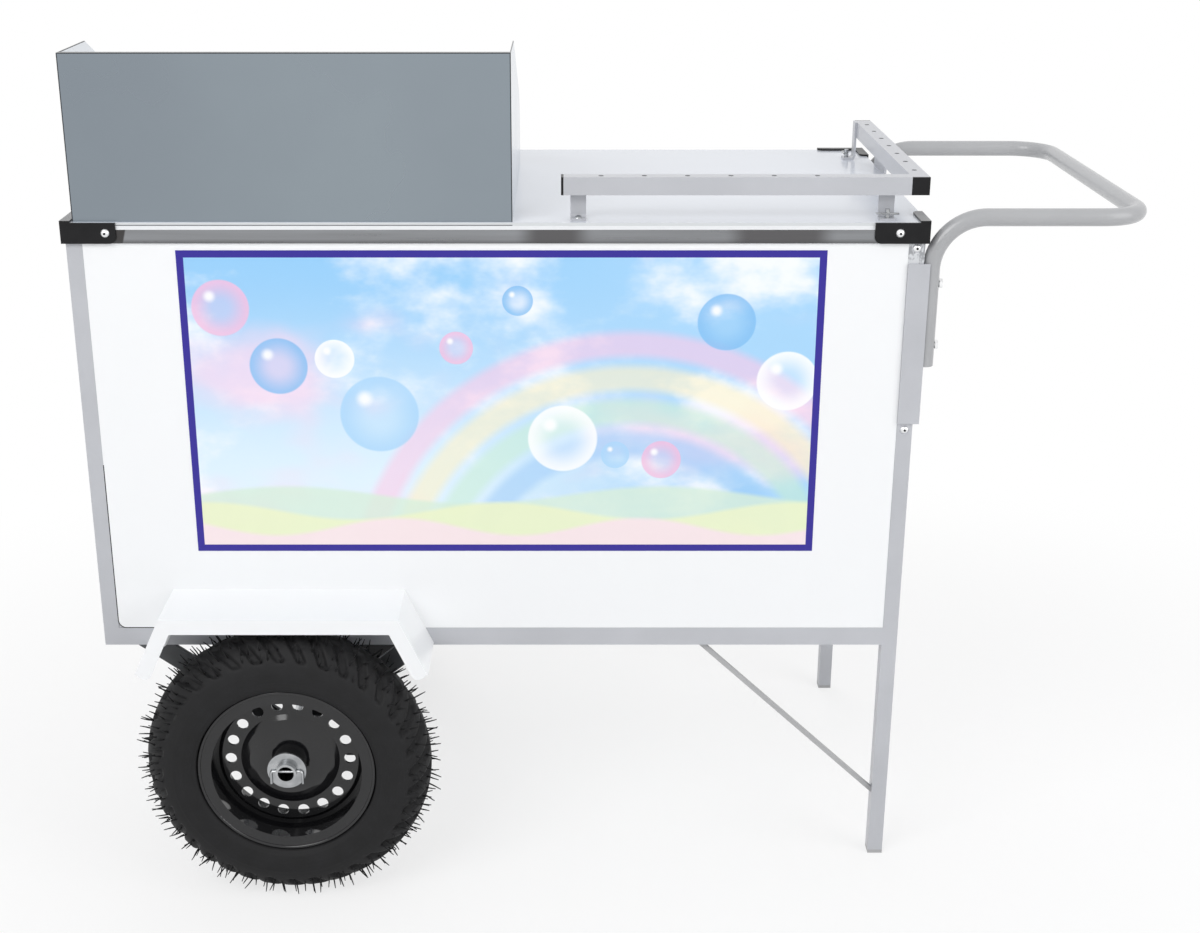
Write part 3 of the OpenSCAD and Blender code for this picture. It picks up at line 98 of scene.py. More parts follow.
class Nodes:
    """Short calls for building one node tree."""

    def __init__(self, tree):
        self.tree = tree

    def add(self, kind, **values):
        node = self.tree.nodes.new(kind)
        for key, value in values.items():
            setattr(node, key, value)
        return node

    def put(self, socket, value):
        if isinstance(value, bpy.types.NodeSocket):
            self.tree.links.new(value, socket)
        elif isinstance(value, tuple) and len(value) == 3 and socket.type == "RGBA":
            socket.default_value = (*value, 1)
        else:
            socket.default_value = value

    def math(self, operation, a, b=0.0):
        node = self.add("ShaderNodeMath", operation=operation)
        self.put(node.inputs[0], a)
        self.put(node.inputs[1], b)
        return node.outputs[0]

    def plus(self, a, b):
        return self.math("ADD", a, b)

    def minus(self, a, b):
        return self.math("SUBTRACT", a, b)

    def times(self, a, b):
        return self.math("MULTIPLY", a, b)

    def over(self, a, b):
        return self.math("GREATER_THAN", a, b)

    def under(self, a, b):
        return self.math("LESS_THAN", a, b)

    def least(self, a, b):
        return self.math("MINIMUM", a, b)

    def most(self, a, b):
        return self.math("MAXIMUM", a, b)

    def apart(self, a, b):
        return self.math("ABSOLUTE", self.minus(a, b))

    def between(self, value, low, high, out_low=0.0, out_high=1.0, smooth=True):
        """Value carried from the range low to high over to the range out_low to out_high."""
        node = self.add("ShaderNodeMapRange", interpolation_type="SMOOTHSTEP" if smooth else "LINEAR")
        for name, v in (("Value", value), ("From Min", low), ("From Max", high), ("To Min", out_low),
                        ("To Max", out_high)):
            self.put(node.inputs[name], v)
        return node.outputs["Result"]

    def mix(self, factor, a, b):
        node = self.add("ShaderNodeMix", data_type="RGBA")
        self.put(node.inputs[0], factor)
        self.put(node.inputs[6], a)
        self.put(node.inputs[7], b)
        return node.outputs[2]

    def noise(self, vector, scale, detail=4.0, rough=0.5):
        node = self.add("ShaderNodeTexNoise")
        self.put(node.inputs["Vector"], vector)
        node.inputs["Scale"].default_value = scale
        node.inputs["Detail"].default_value = detail
        node.inputs["Roughness"].default_value = rough
        return node.outputs["Fac"]

    def place(self, stretch=(1, 1, 1)):
        coord = self.add("ShaderNodeTexCoord")
        scaled = self.add("ShaderNodeMapping")
        scaled.inputs["Scale"].default_value = stretch
        self.put(scaled.inputs["Vector"], coord.outputs["Object"])
        return scaled.outputs["Vector"]

    def xyz(self, vector):
        node = self.add("ShaderNodeSeparateXYZ")
        self.put(node.inputs[0], vector)
        return node.outputs[0], node.outputs[1], node.outputs[2]

    def normal(self):
        return self.xyz(self.add("ShaderNodeNewGeometry").outputs["True Normal"])

    def facing(self):
        """How far the surface faces along x and y, without regard to sign."""
        x, y, _ = self.normal()
        return self.math("ABSOLUTE", x), self.math("ABSOLUTE", y)

    def relief(self, height, strength, distance=0.001):
        node = self.add("ShaderNodeBump")
        node.inputs["Strength"].default_value = strength
        node.inputs["Distance"].default_value = distance
        self.put(node.inputs["Height"], height)
        return node.outputs["Normal"]

    def blend(self, factor, a, b):
        node = self.add("ShaderNodeMixShader")
        self.put(node.inputs[0], factor)
        self.put(node.inputs[1], a.outputs[0])
        self.put(node.inputs[2], b.outputs[0])
        return node.outputs[0]

    def seen(self):
        """1 for rays that show the background: straight from the camera, or by gloss or glass."""
        path = self.add("ShaderNodeLightPath").outputs
        shown = self.most(path["Is Camera Ray"], path["Is Glossy Ray"])
        return self.most(shown, path["Is Transmission Ray"])


SKY_COLOUR = (0.9, 0.905, 0.92)
SKY_STRENGTH = 0.5
WHITE = (1.0, 1.0, 1.0)

world = bpy.data.worlds.new("studio")
scene.world = world
world.use_nodes = True
n = Nodes(world.node_tree)
soft = world.node_tree.nodes["Background"]
n.put(soft.inputs["Color"], SKY_COLOUR)
soft.inputs["Strength"].default_value = SKY_STRENGTH
white = n.add("ShaderNodeBackground")
n.put(white.inputs["Color"], WHITE)
n.put(world.node_tree.nodes["World Output"].inputs["Surface"], n.blend(n.seen(), soft, white))


# Materials

# Range of a noise texture's value that is put to use, and detail of mottling and of fine grain
NOISE_LOW, NOISE_HIGH = 0.3, 0.7
CLOUD_DETAIL, GRAIN_DETAIL = 5.0, 3.0
COAT_ROUGH = 0.08
LEAST_ROUGH = 0.02


def material(name):
    """New material, with the calls for its node tree and its shader."""
    mat = bpy.data.materials.new(name)
    mat.use_nodes = True
    return mat, Nodes(mat.node_tree), mat.node_tree.nodes["Principled BSDF"]


def surface(name, dark, light, rough, metal=0.0, coat=0.0, scale=9.0, stretch=(1, 1, 1), bump=0.05,
            bump_scale=260.0, rough_swing=0.06, specular=0.5, tint=None):
    """Paint, metal or plastic: mottled colour, uneven gloss and a fine grain in the surface.
    tint is called with the nodes and the colour so far, and gives the colour to use."""
    mat, n, shader = material(name)
    shader.inputs["Metallic"].default_value = metal
    shader.inputs["Coat Weight"].default_value = coat
    shader.inputs["Coat Roughness"].default_value = COAT_ROUGH
    shader.inputs["Specular IOR Level"].default_value = specular
    at = n.place(stretch)
    cloud = n.noise(at, scale, CLOUD_DETAIL)
    colour = n.mix(n.between(cloud, NOISE_LOW, NOISE_HIGH, smooth=False), dark, light)
    n.put(shader.inputs["Base Color"], tint(n, colour) if tint else colour)
    low, high = max(rough - rough_swing, LEAST_ROUGH), min(rough + rough_swing, 1.0)
    n.put(shader.inputs["Roughness"], n.between(cloud, NOISE_LOW, NOISE_HIGH, low, high, smooth=False))
    n.put(shader.inputs["Normal"], n.relief(n.noise(at, bump_scale, GRAIN_DETAIL), bump))
    return mat


def wear(grey, amount):
    """Darkest and lightest shade of a colour that varies by a share of itself."""
    low = tuple(max(c * (1 - amount), 0.0) for c in grey)
    high = tuple(min(c * (1 + amount), 1.0) for c in grey)
    return low, high


guard_lo, guard_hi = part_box("wind_guard")
deck_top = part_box("deck_sheet")[1].z
trim_lo, trim_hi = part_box("edge_trim")
clamp_lo, clamp_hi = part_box("handle_sleeves")

# Part of a normal along an axis from which a face counts as facing that way
FLAT = 0.7
# Stretch at the guard's right end that isn't darkened, width of the painted shade along its side edges,
# height of the painted shade along its hem
GUARD_CLEAR, GUARD_EDGE_SHADE, GUARD_HEM_SHADE = 0.15, 0.0013, 0.0011
GUARD_LEFT_DARKENING, GUARD_LEFT_DARK_TINT = 0.5, srgb(126, 134, 143)
# Painted reflection: the wings are pale, as grey gloss sheet at a grazing angle mirrors the white around
# it
GUARD_WING_REFLECTION_TINT, GUARD_EDGE_SHADE_TINT = srgb(222, 226, 231), (0.06, 0.065, 0.07)


def guard_tint(n, colour):
    """Darker towards the left, pale wings as painted reflection, and painted shade along the sheet's cut
    edges and its hem.
    """
    x, _, z = n.xyz(n.place())
    side, front = n.facing()
    # Darker towards the left
    left_darkening = n.between(x, guard_lo.x, guard_hi.x - GUARD_CLEAR, GUARD_LEFT_DARKENING, 0.0)
    colour = n.mix(left_darkening, colour, GUARD_LEFT_DARK_TINT)
    # Painted reflection on the wings
    colour = n.mix(n.over(side, FLAT), colour, GUARD_WING_REFLECTION_TINT)
    # Painted shade along the cut edges and the hem
    edge = n.least(n.minus(x, guard_lo.x), n.minus(guard_hi.x, x))
    edge = n.times(n.under(edge, GUARD_EDGE_SHADE), n.over(front, FLAT))
    hem = n.over(z, guard_hi.z - GUARD_HEM_SHADE)
    return n.mix(n.most(edge, hem), colour, GUARD_EDGE_SHADE_TINT)


# Depths under the deck's top: where the rim starts, where the painted highlight on its foot starts, and
# its dark line
RIM_START, RIM_FOOT_HIGHLIGHT, RIM_LINE = 0.0002, (0.0040, 0.0046), 0.0035
# Distance from the line's middle at which it starts to fade and at which it ends
RIM_LINE_FADE = (0.0003, 0.0009)
RIM_TINT, RIM_FOOT_HIGHLIGHT_TINT, RIM_LINE_TINT = srgb(213, 216, 218), srgb(234, 236, 238), srgb(104, 107, 111)


def deck_tint(n, colour):
    """Painted highlight: the rim's foot is brighter than the rest, and a dark line runs above it in front
    of the guard.
    """
    x, y, z = n.xyz(n.place())
    down = n.minus(deck_top, z)
    colour = n.mix(n.over(down, RIM_START), colour, RIM_TINT)
    # Painted highlight along the rim's foot
    colour = n.mix(n.between(down, *RIM_FOOT_HIGHLIGHT), colour, RIM_FOOT_HIGHLIGHT_TINT)
    before = n.times(n.under(x, guard_hi.x), n.under(y, guard_lo.y))
    line = n.times(n.between(n.apart(down, RIM_LINE), *RIM_LINE_FADE, 1.0, 0.0), before)
    return n.mix(line, colour, RIM_LINE_TINT)


# Middle and half length of the trim's painted dark reflections and how far they fade, as shares of its
# length
DARK_REFLECTIONS = ((0.568, 0.018), (0.83, 0.037))
DARK_REFLECTION_FADE, DARK_REFLECTION_TINT = 0.03, (0.13, 0.128, 0.132)
# End of the dark reach beside the front left cap, from the trim's end, its fade and its slant
CAP_SHADE, CAP_SHADE_FADE, CAP_SHADE_LEAN = 0.072, 0.002, 0.25
CAP_SHADE_DEEP, CAP_SHADE_TINT = 0.9, (0.05, 0.046, 0.044)
# Height of the shaded lower edge
TRIM_FOOT = 0.006
TRIM_FOOT_DEEP, TRIM_FOOT_TINT = 0.55, (0.09, 0.09, 0.095)


def trim_tint(n, colour):
    """Brushed strip with painted dark reflections along it, a painted shadow beside the front left cap
    and painted shade along the lower edge.
    """
    x, y, z = n.xyz(n.place())
    along = n.between(x, trim_lo.x, trim_hi.x, smooth=False)
    # Painted reflection: darker reaches along the strip
    for middle, half in DARK_REFLECTIONS:
        reach = n.between(n.apart(along, middle), half, half + DARK_REFLECTION_FADE, 1.0, 0.0)
        colour = n.mix(reach, colour, DARK_REFLECTION_TINT)
    lean = n.minus(x, n.times(n.minus(z, trim_lo.z), CAP_SHADE_LEAN))
    end = trim_lo.x + CAP_SHADE
    shade = n.between(lean, end, end + CAP_SHADE_FADE, CAP_SHADE_DEEP, 0.0)
    front = n.times(n.over(n.facing()[1], FLAT), n.under(y, 0.0))
    colour = n.mix(n.times(shade, front), colour, CAP_SHADE_TINT)
    foot = n.between(z, trim_lo.z, trim_lo.z + TRIM_FOOT, TRIM_FOOT_DEEP, 0.0)
    return n.mix(foot, colour, TRIM_FOOT_TINT)


# Stretch, scale and used range of the streaks in the bare metal
BARE_STRETCH, BARE_GRAIN, BARE_RANGE = (1, 1, 0.6), 190.0, (0.42, 0.58)
BARE_TINTS = (srgb(158, 160, 164), srgb(214, 216, 219))


def leg_tint(n, colour):
    """Bare metal above the clamp of the handle."""
    z = n.xyz(n.place())[2]
    streak = n.between(n.noise(n.place(BARE_STRETCH), BARE_GRAIN, GRAIN_DETAIL), *BARE_RANGE)
    return n.mix(n.over(z, clamp_hi.z), colour, n.mix(streak, *BARE_TINTS))


# Painted reflection on the front caps' tops
CAP_TOP_REFLECTION_TINT = (0.21, 0.21, 0.215)


def cap_top_reflection(n, colour):
    """Painted reflection: the front caps are pale on top, where the gloss black mirrors the bright light
    above.
    """
    y = n.xyz(n.place())[1]
    top = n.times(n.over(n.normal()[2], FLAT), n.under(y, 0.0))
    return n.mix(top, colour, CAP_TOP_REFLECTION_TINT)


FRAME_LOOK = (*wear((0.505, 0.515, 0.545), 0.05), 0.38)
frame_paint = surface("frame_paint", *FRAME_LOOK, coat=0.15, bump=0.06)
leg_paint = surface("leg_paint", *FRAME_LOOK, coat=0.15, bump=0.06, tint=leg_tint)
panel_paint = surface("panel_paint", *wear((0.915, 0.925, 0.935), 0.006), 0.3, coat=0.2, scale=2.0,
                      bump=0.02, rough_swing=0.02)
deck_paint = surface("deck_paint", *wear((0.68, 0.71, 0.77), 0.02), 0.18, coat=0.1, scale=3.0,
                     bump=0.015, rough_swing=0.03, tint=deck_tint)
handle_paint = surface("handle_paint", *wear((0.40, 0.405, 0.415), 0.04), 0.32, coat=0.3, bump=0.05)
brace_paint = surface("brace_paint", *wear((0.43, 0.43, 0.435), 0.08), 0.42, bump=0.06)
foot_plastic = surface("foot_plastic", *wear((0.42, 0.42, 0.425), 0.06), 0.5, bump=0.08)
guard_metal = surface("guard_metal", srgb(142, 151, 159), srgb(148, 158, 165), 0.26, metal=1.0,
                      scale=3.0, bump=0.03, tint=guard_tint)
trim_metal = surface("trim_metal", (0.24, 0.245, 0.255), (0.30, 0.31, 0.325), 0.3, metal=1.0, scale=14.0,
                     stretch=(0.35, 0.35, 7.0), bump=0.08, bump_scale=320.0, tint=trim_tint)
BLACK_LOOK = ((0.006, 0.006, 0.007), (0.011, 0.011, 0.012), 0.34)
black_plastic = surface("black_plastic", *BLACK_LOOK, scale=30.0, bump=0.05, specular=0.22)
cap_plastic = surface("cap_plastic", *BLACK_LOOK, scale=30.0, bump=0.05, specular=0.22, tint=cap_top_reflection)
bright_steel = surface("bright_steel", (0.80, 0.81, 0.82), (0.93, 0.935, 0.94), 0.3, metal=1.0,
                       scale=60.0, bump=0.08)
zinc = surface("zinc", (0.34, 0.35, 0.36), (0.52, 0.53, 0.54), 0.24, metal=1.0, scale=60.0, bump=0.1)
dark_steel = surface("dark_steel", (0.055, 0.058, 0.062), (0.10, 0.105, 0.11), 0.45, scale=18.0, bump=0.1)
rim_paint = surface("rim_paint", (0.005, 0.005, 0.006), (0.010, 0.010, 0.011), 0.1, coat=0.4, scale=14.0,
                    bump=0.03, specular=0.35)
tyre_rubber = surface("tyre_rubber", (0.009, 0.009, 0.0095), (0.0145, 0.0145, 0.0155), 0.62, scale=40.0,
                      bump=0.2, specular=0.24)
tube_rubber = surface("tube_rubber", (0.014, 0.014, 0.014), (0.024, 0.024, 0.024), 0.6, scale=40.0,
                      bump=0.15)
brass = surface("brass", (0.45, 0.32, 0.12), (0.62, 0.46, 0.20), 0.3, metal=1.0, scale=50.0, bump=0.08)
spun_aluminium = surface("spun_aluminium", (0.58, 0.59, 0.61), (0.72, 0.73, 0.75), 0.3, metal=1.0,
                         scale=20.0, stretch=(0.5, 0.5, 9.0), bump=0.08)
board_wood = surface("board_wood", (0.30, 0.19, 0.10), (0.50, 0.34, 0.19), 0.6, scale=12.0,
                     stretch=(0.5, 6, 6), bump=0.2)
knob_red = surface("knob_red", (0.26, 0.022, 0.016), (0.34, 0.034, 0.024), 0.4, scale=40.0, bump=0.06)

# Banner. Places across are shares of the sheet's width, and places up and radii are shares of its height.
PRINT_STRETCH = (1.0, 1.0, 1.6)
PRINT_ROUGH, PRINT_MOTTLE, PRINT_GRAIN, PRINT_RELIEF = (0.34, 0.46), 30.0, 900.0, 0.04
# Where the sky starts and ends to turn into its upper and its right-hand colour
SKY_UP, SKY_RIGHT = (0.15, 1.0), (0.3, 0.95)
SKY_TINT, SKY_UP_TINT, SKY_RIGHT_TINT = srgb(226, 243, 253), srgb(150, 205, 246), srgb(168, 214, 248)
# Clouds and blush: scale, detail and roughness of the noise, its used range, strength and tint
CLOUDS = (
    ((5.2, 5.0, 0.55), (0.46, 0.66), 0.9, srgb(252, 253, 255)),
    ((3.4, 3.0, 0.5), (0.52, 0.70), 0.7, srgb(250, 216, 237)),
)
# Middle of the arcs, radius of the outer one, step to the next, and half width at full and no strength
ARC_MIDDLE, ARC_R, ARC_STEP, ARC_HALF = (0.70, -0.16), 0.86, 0.11, (0.02, 0.06)
ARC_DEEP = 0.55
ARC_TINTS = (srgb(250, 198, 226), srgb(253, 240, 190), srgb(200, 236, 208), srgb(150, 200, 245))
BUBBLES, BUBBLE_SEED = 11, 11
# Radius, place of the first bubble across, step to the next, shift in metres, and place up
BUBBLE_R, BUBBLE_FIRST, BUBBLE_STEP, BUBBLE_SHIFT = (0.045, 0.15), 0.06, 0.088, 0.02
BUBBLE_UP = (0.30, 0.86)
# In a bubble's radius: start of its faded edge, and reach of its weak core; strength at the core and edge
BUBBLE_EDGE, BUBBLE_CORE, BUBBLE_DEEP = 0.94, 0.2, (0.25, 0.85)
BUBBLE_TINTS = (srgb(240, 190, 222), srgb(128, 190, 240), srgb(255, 255, 255), srgb(170, 214, 248))
# In a bubble's radius: place of its bright spot, and the spot's radius at full and no strength
SPOT_LEFT, SPOT_UP, SPOT_R = 0.35, 0.4, (0.05, 0.28)
SPOT_DEEP = 0.85
# Height of the first band, step down to the next, and in metres its swell and its soft edge
BAND_TOP, BAND_STEP, BAND_SWELL, BAND_EDGE = 0.20, 0.055, 0.012, (-0.002, 0.006)
# Radians to a metre in the first band's wave, how many more in each next, and shift to the next
BAND_WAVE, BAND_WAVE_MORE, BAND_SHIFT = 13.0, 3.5, 1.3
BAND_DEEP = 0.8
BAND_TINTS = (srgb(214, 236, 216), srgb(238, 244, 200), srgb(250, 226, 238))
# Width of the border in metres, at the start and end of its soft edge
BORDER = (0.0088, 0.0094)
BORDER_TINT = srgb(42, 28, 146)


def banner_print():
    """A printed sheet: dark border, pastel sky with clouds, soft arcs, bubbles and low rolling bands."""
    mat, n, shader = material("banner_print")
    low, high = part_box("banner")
    wide, tall = high.x - low.x, high.z - low.z
    x, _, z = n.xyz(n.place())
    u = n.minus(x, low.x)
    v = n.minus(z, low.z)
    at = n.place(PRINT_STRETCH)

    def from_point(pu, pv):
        du, dv = n.minus(u, pu), n.minus(v, pv)
        return n.math("SQRT", n.plus(n.times(du, du), n.times(dv, dv)))

    sky = n.mix(n.between(v, SKY_UP[0] * tall, SKY_UP[1] * tall), SKY_TINT, SKY_UP_TINT)
    sky = n.mix(n.between(u, SKY_RIGHT[0] * wide, SKY_RIGHT[1] * wide), sky, SKY_RIGHT_TINT)
    for noise, used, deep, tint in CLOUDS:
        cloud = n.times(n.between(n.noise(at, *noise), *used), deep)
        sky = n.mix(cloud, sky, tint)

    # Soft arcs that rise from the lower right
    reach = from_point(ARC_MIDDLE[0] * wide, ARC_MIDDLE[1] * tall)
    for i, tint in enumerate(ARC_TINTS):
        away = n.apart(reach, (ARC_R - ARC_STEP * i) * tall)
        band = n.between(away, ARC_HALF[0] * tall, ARC_HALF[1] * tall, ARC_DEEP, 0.0)
        sky = n.mix(band, sky, tint)

    # Bubbles with a bright spot and a stronger edge
    spread = random.Random(BUBBLE_SEED)
    for i in range(BUBBLES):
        r = spread.uniform(*BUBBLE_R) * tall
        pu = (BUBBLE_FIRST + BUBBLE_STEP * i) * wide + spread.uniform(-BUBBLE_SHIFT, BUBBLE_SHIFT)
        pv = spread.uniform(*BUBBLE_UP) * tall
        away = from_point(pu, pv)
        body = n.between(away, BUBBLE_EDGE * r, r, 1.0, 0.0)
        skin = n.times(body, n.between(away, BUBBLE_CORE * r, r, *BUBBLE_DEEP))
        sky = n.mix(skin, sky, BUBBLE_TINTS[i % len(BUBBLE_TINTS)])
        away = from_point(pu - SPOT_LEFT * r, pv + SPOT_UP * r)
        spot = n.between(away, SPOT_R[0] * r, SPOT_R[1] * r, SPOT_DEEP, 0.0)
        sky = n.mix(spot, sky, WHITE)

    # Rolling bands along the foot
    for i, tint in enumerate(BAND_TINTS):
        wave = n.plus(n.times(u, BAND_WAVE + BAND_WAVE_MORE * i), BAND_SHIFT * i)
        swell = n.times(n.math("SINE", wave), BAND_SWELL)
        top = n.plus(swell, (BAND_TOP - BAND_STEP * i) * tall)
        under = n.between(n.minus(top, v), *BAND_EDGE)
        sky = n.mix(n.times(under, BAND_DEEP), sky, tint)

    side = n.least(n.least(u, n.minus(wide, u)), n.least(v, n.minus(tall, v)))
    sky = n.mix(n.between(side, *BORDER), BORDER_TINT, sky)
    n.put(shader.inputs["Base Color"], sky)
    mottle = n.noise(at, PRINT_MOTTLE)
    n.put(shader.inputs["Roughness"], n.between(mottle, NOISE_LOW, NOISE_HIGH, *PRINT_ROUGH))
    n.put(shader.inputs["Normal"], n.relief(n.noise(at, PRINT_GRAIN), PRINT_RELIEF))
    return mat


LOOKS = {
    frame_paint: "left_posts bottom_rails top_frame rack_front_tube rack_side_tube rack_feet "
                 "handle_sleeves",
    leg_paint: "legs",
    handle_paint: "handle_tube",
    brace_paint: "leg_braces",
    foot_plastic: "leg_feet",
    panel_paint: "front_panel left_panel right_panel back_panel floor_panel back_door fender_front "
                 "fender_back",
    deck_paint: "deck_sheet",
    banner_print(): "banner",
    guard_metal: "wind_guard",
    trim_metal: "edge_trim",
    cap_plastic: "corner_caps",
    black_plastic: "rack_plugs power_switch power_inlet brush_block",
    bright_steel: "deck_screws handle_bolts",
    zinc: "door_hinge_leaves door_knuckles door_pull door_turn_button rack_studs rack_clips axle "
          "axle_washers axle_pins",
    dark_steel: "axle_brackets motor_housing motor_mount control_box spinner_shaft",
    rim_paint: "front_rim front_hub back_rim back_hub",
    tyre_rubber: "front_tyre back_tyre",
    tube_rubber: "front_inner_tube back_inner_tube",
    brass: "front_bushes back_bushes heater_band slip_rings",
    spun_aluminium: "bowl spinner_head",
    board_wood: "deck_board",
    knob_red: "heat_knob",
}
for look, names in LOOKS.items():
    for name in names.split():
        nodes[name].data.materials.clear()
        nodes[name].data.materials.append(look)


# Pieces

def piece(name, verts, faces, look, body, slot, smooth=True):
    """New object with one look, which rides on a body and fills a material slot."""
    mesh = bpy.data.meshes.new(name)
    mesh.from_pydata(verts, [], faces)
    solid = bmesh.new()
    solid.from_mesh(mesh)
    bmesh.ops.recalc_face_normals(solid, faces=solid.faces)
    solid.to_mesh(mesh)
    solid.free()
    mesh.materials.append(look)
    if smooth:
        mesh.shade_smooth()
    mesh.update()
    made = bpy.data.objects.new(name, mesh)
    scene.collection.objects.link(made)
    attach(made, body)
    return made


def ease(value, low, high):
    """0 up to low, 1 from high on, and a smooth rise between."""
    part = min(max((value - low) / (high - low), 0.0), 1.0)
    return part * part * (3 - 2 * part)


# Tyres. Angles are in degrees from the crown, round the tyre's section.
LUGS = 36
LUG_STEPS = 14
SECTION_STEPS = 104
# How far the section goes on past its widest point
BEAD = 32.0
TREAD = 60.0
# Half width of the middle rib at its top and foot
RIB = (6.0, 9.0)
# How far a groove slants from the crown to the tread's edge, in steps from lug to lug, and its half
# width at the foot and top, in half steps
GROOVE_SWEEP, GROOVE_HALF = 0.95, (0.30, 0.52)
# Its depth, and where it starts and ends to run out on the shoulder
GROOVE_DEEP, GROOVE_END = 0.0052, (TREAD - 2, TREAD + 9)
# Ridges on the sidewall and their half width at the top and foot
RIDGES, RIDGE_HALF, RIDGE_UP = (85.0, 99.0, 112.0), (0.8, 2.0), 0.0005
SKIN_DOWN = 0.0005


def lug(slant, turn):
    """1 on a lug or the middle rib of the tread, 0 in a groove."""
    away = abs(slant)
    rib = 1 - ease(away, *RIB)
    phase = turn * LUGS / math.tau + (0.5 if slant < 0 else 0.0) + GROOVE_SWEEP * away / TREAD
    gap = abs(phase % 1.0 - 0.5) * 2
    return max(rib, ease(gap, *GROOVE_HALF))


def tyre_drop(slant, turn):
    """How far the rubber lies under the tyre's outline."""
    away = abs(slant)
    low = SKIN_DOWN
    for ridge in RIDGES:
        low -= RIDGE_UP * (1 - ease(abs(away - ridge), *RIDGE_HALF))
    groove = GROOVE_DEEP * (1 - ease(away, *GROOVE_END))
    return low + groove * (1 - lug(slant, turn))


def tyre_size(node):
    """Middle of a tyre, radius of its section and of the ring through the sections' middles."""
    low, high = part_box(node)
    half = (high.y - low.y) / 2
    return (low + high) / 2, half, (high.z - low.z) / 2 - half


def tyre_piece(node, body):
    """Tyre with lugs, grooves and ridges in place of the plain one."""
    mid, half, ring_r = tyre_size(node)
    first, span = -90 - BEAD, 180 + 2 * BEAD
    slants = [first + i * span / SECTION_STEPS for i in range(SECTION_STEPS + 1)]
    turns = [i * math.tau / (LUGS * LUG_STEPS) for i in range(LUGS * LUG_STEPS)]
    verts = []
    for turn in turns:
        for slant in slants:
            r = half - tyre_drop(slant, turn)
            out = ring_r + r * math.cos(math.radians(slant))
            verts.append((mid.x + out * math.cos(turn), mid.y + r * math.sin(math.radians(slant)),
                          mid.z + out * math.sin(turn)))
    wide = len(slants)
    faces = []
    for i in range(len(turns)):
        a, b = i * wide, (i + 1) % len(turns) * wide
        for j in range(wide):
            k = (j + 1) % wide
            faces.append((a + j, a + k, b + k, b + j))
    made = piece(node + "_tread", verts, faces, tyre_rubber, body, "tyre_rubber")
    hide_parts(node)


# Angle and count of each row of moulding hairs
HAIR_ROWS = ((-62, 84), (-46, 84), (-24, 72), (0, 60), (24, 72), (46, 84), (62, 84))
HAIR_LONG = (0.011, 0.0185)
# Share of a hair's length and its radius there
HAIR_TAPER = ((0.0, 0.0012), (0.5, 0.001), (1.0, 0.0006))
HAIR_SIDES = 3
HAIR_SINK = 0.002
# How far a hair's foot strays from its place in the row: in steps of the row, and in degrees
HAIR_STRAY, HAIR_TILT = 0.3, 4
# Parts of a hair's way off the tyre, to the side and round the tyre, and how far it bows
HAIR_OFF, HAIR_ASIDE, HAIR_ROUND, HAIR_BOW = (0.75, 1.0), (0.1, 0.5), 0.35, 0.0016
# Room that a hair's tip keeps to the floor and to the tyre's two sides
HAIR_FLOOR, HAIR_ROOM = 0.0006, 0.0005


def hair_piece(node, body, seed):
    """Fine moulding hairs that stand off the tyre's tread and shoulders."""
    mid, half, ring_r = tyre_size(node)
    root = half - HAIR_SINK
    grow = random.Random(seed)
    verts, faces = [], []
    for slant, count in HAIR_ROWS:
        for i in range(count):
            turn = (i + grow.uniform(-HAIR_STRAY, HAIR_STRAY)) * math.tau / count
            lean = math.radians(slant + grow.uniform(-HAIR_TILT, HAIR_TILT))
            radial = Vector((math.cos(turn), 0, math.sin(turn)))
            along = Vector((-math.sin(turn), 0, math.cos(turn)))
            foot = mid + radial * (ring_r + root * math.cos(lean)) + Y * root * math.sin(lean)
            way = radial * grow.uniform(*HAIR_OFF) + Y * math.sin(lean) * grow.uniform(*HAIR_ASIDE)
            way = (way + along * grow.uniform(-HAIR_ROUND, HAIR_ROUND)).normalized()
            bow = along * grow.uniform(-HAIR_BOW, HAIR_BOW)
            long = grow.uniform(*HAIR_LONG)
            tip = foot + way * long + bow
            if tip.z < HAIR_FLOOR or abs(tip.y - mid.y) >= half - HAIR_ROOM:
                continue
            side = way.cross(Y).normalized()
            other = way.cross(side).normalized()
            start = len(verts)
            for share, r in HAIR_TAPER:
                spot = foot + way * long * share + bow * share * share
                for k in range(HAIR_SIDES):
                    a = k * math.tau / HAIR_SIDES
                    verts.append(tuple(spot + side * r * math.cos(a) + other * r * math.sin(a)))
            for ring in range(start, len(verts) - HAIR_SIDES, HAIR_SIDES):
                for k in range(HAIR_SIDES):
                    a, b = ring + k, ring + (k + 1) % HAIR_SIDES
                    faces.append((a, b, b + HAIR_SIDES, a + HAIR_SIDES))
            faces.append(tuple(range(len(verts) - HAIR_SIDES, len(verts))))
            faces.append(tuple(reversed(range(start, start + HAIR_SIDES))))
    piece(node + "_hairs", verts, faces, tyre_rubber, body, "tyre_rubber")


HAIR_SEEDS = {"front": 3, "back": 4}
for wheel, seed in HAIR_SEEDS.items():
    tyre_piece(wheel + "_tyre", wheel + "_wheel")
    hair_piece(wheel + "_tyre", wheel + "_wheel", seed)


# Small details on the cart

def prism(points, way):
    """Vertices and faces of a flat outline pushed along way."""
    count = len(points)
    verts = [tuple(p) for p in points] + [tuple(p + way) for p in points]
    faces = [tuple(reversed(range(count))), tuple(range(count, 2 * count))]
    faces += [(i, (i + 1) % count, count + (i + 1) % count, count + i) for i in range(count)]
    return verts, faces


def tube_faces(count, closed):
    """Faces of a strip with four long edges, each of them a row of count points."""
    faces = []
    for a, b in ((0, 1), (1, 3), (3, 2), (2, 0)):
        for i in range(count if closed else count - 1):
            after = (i + 1) % count
            faces.append((a * count + i, a * count + after, b * count + after, b * count + i))
    return faces


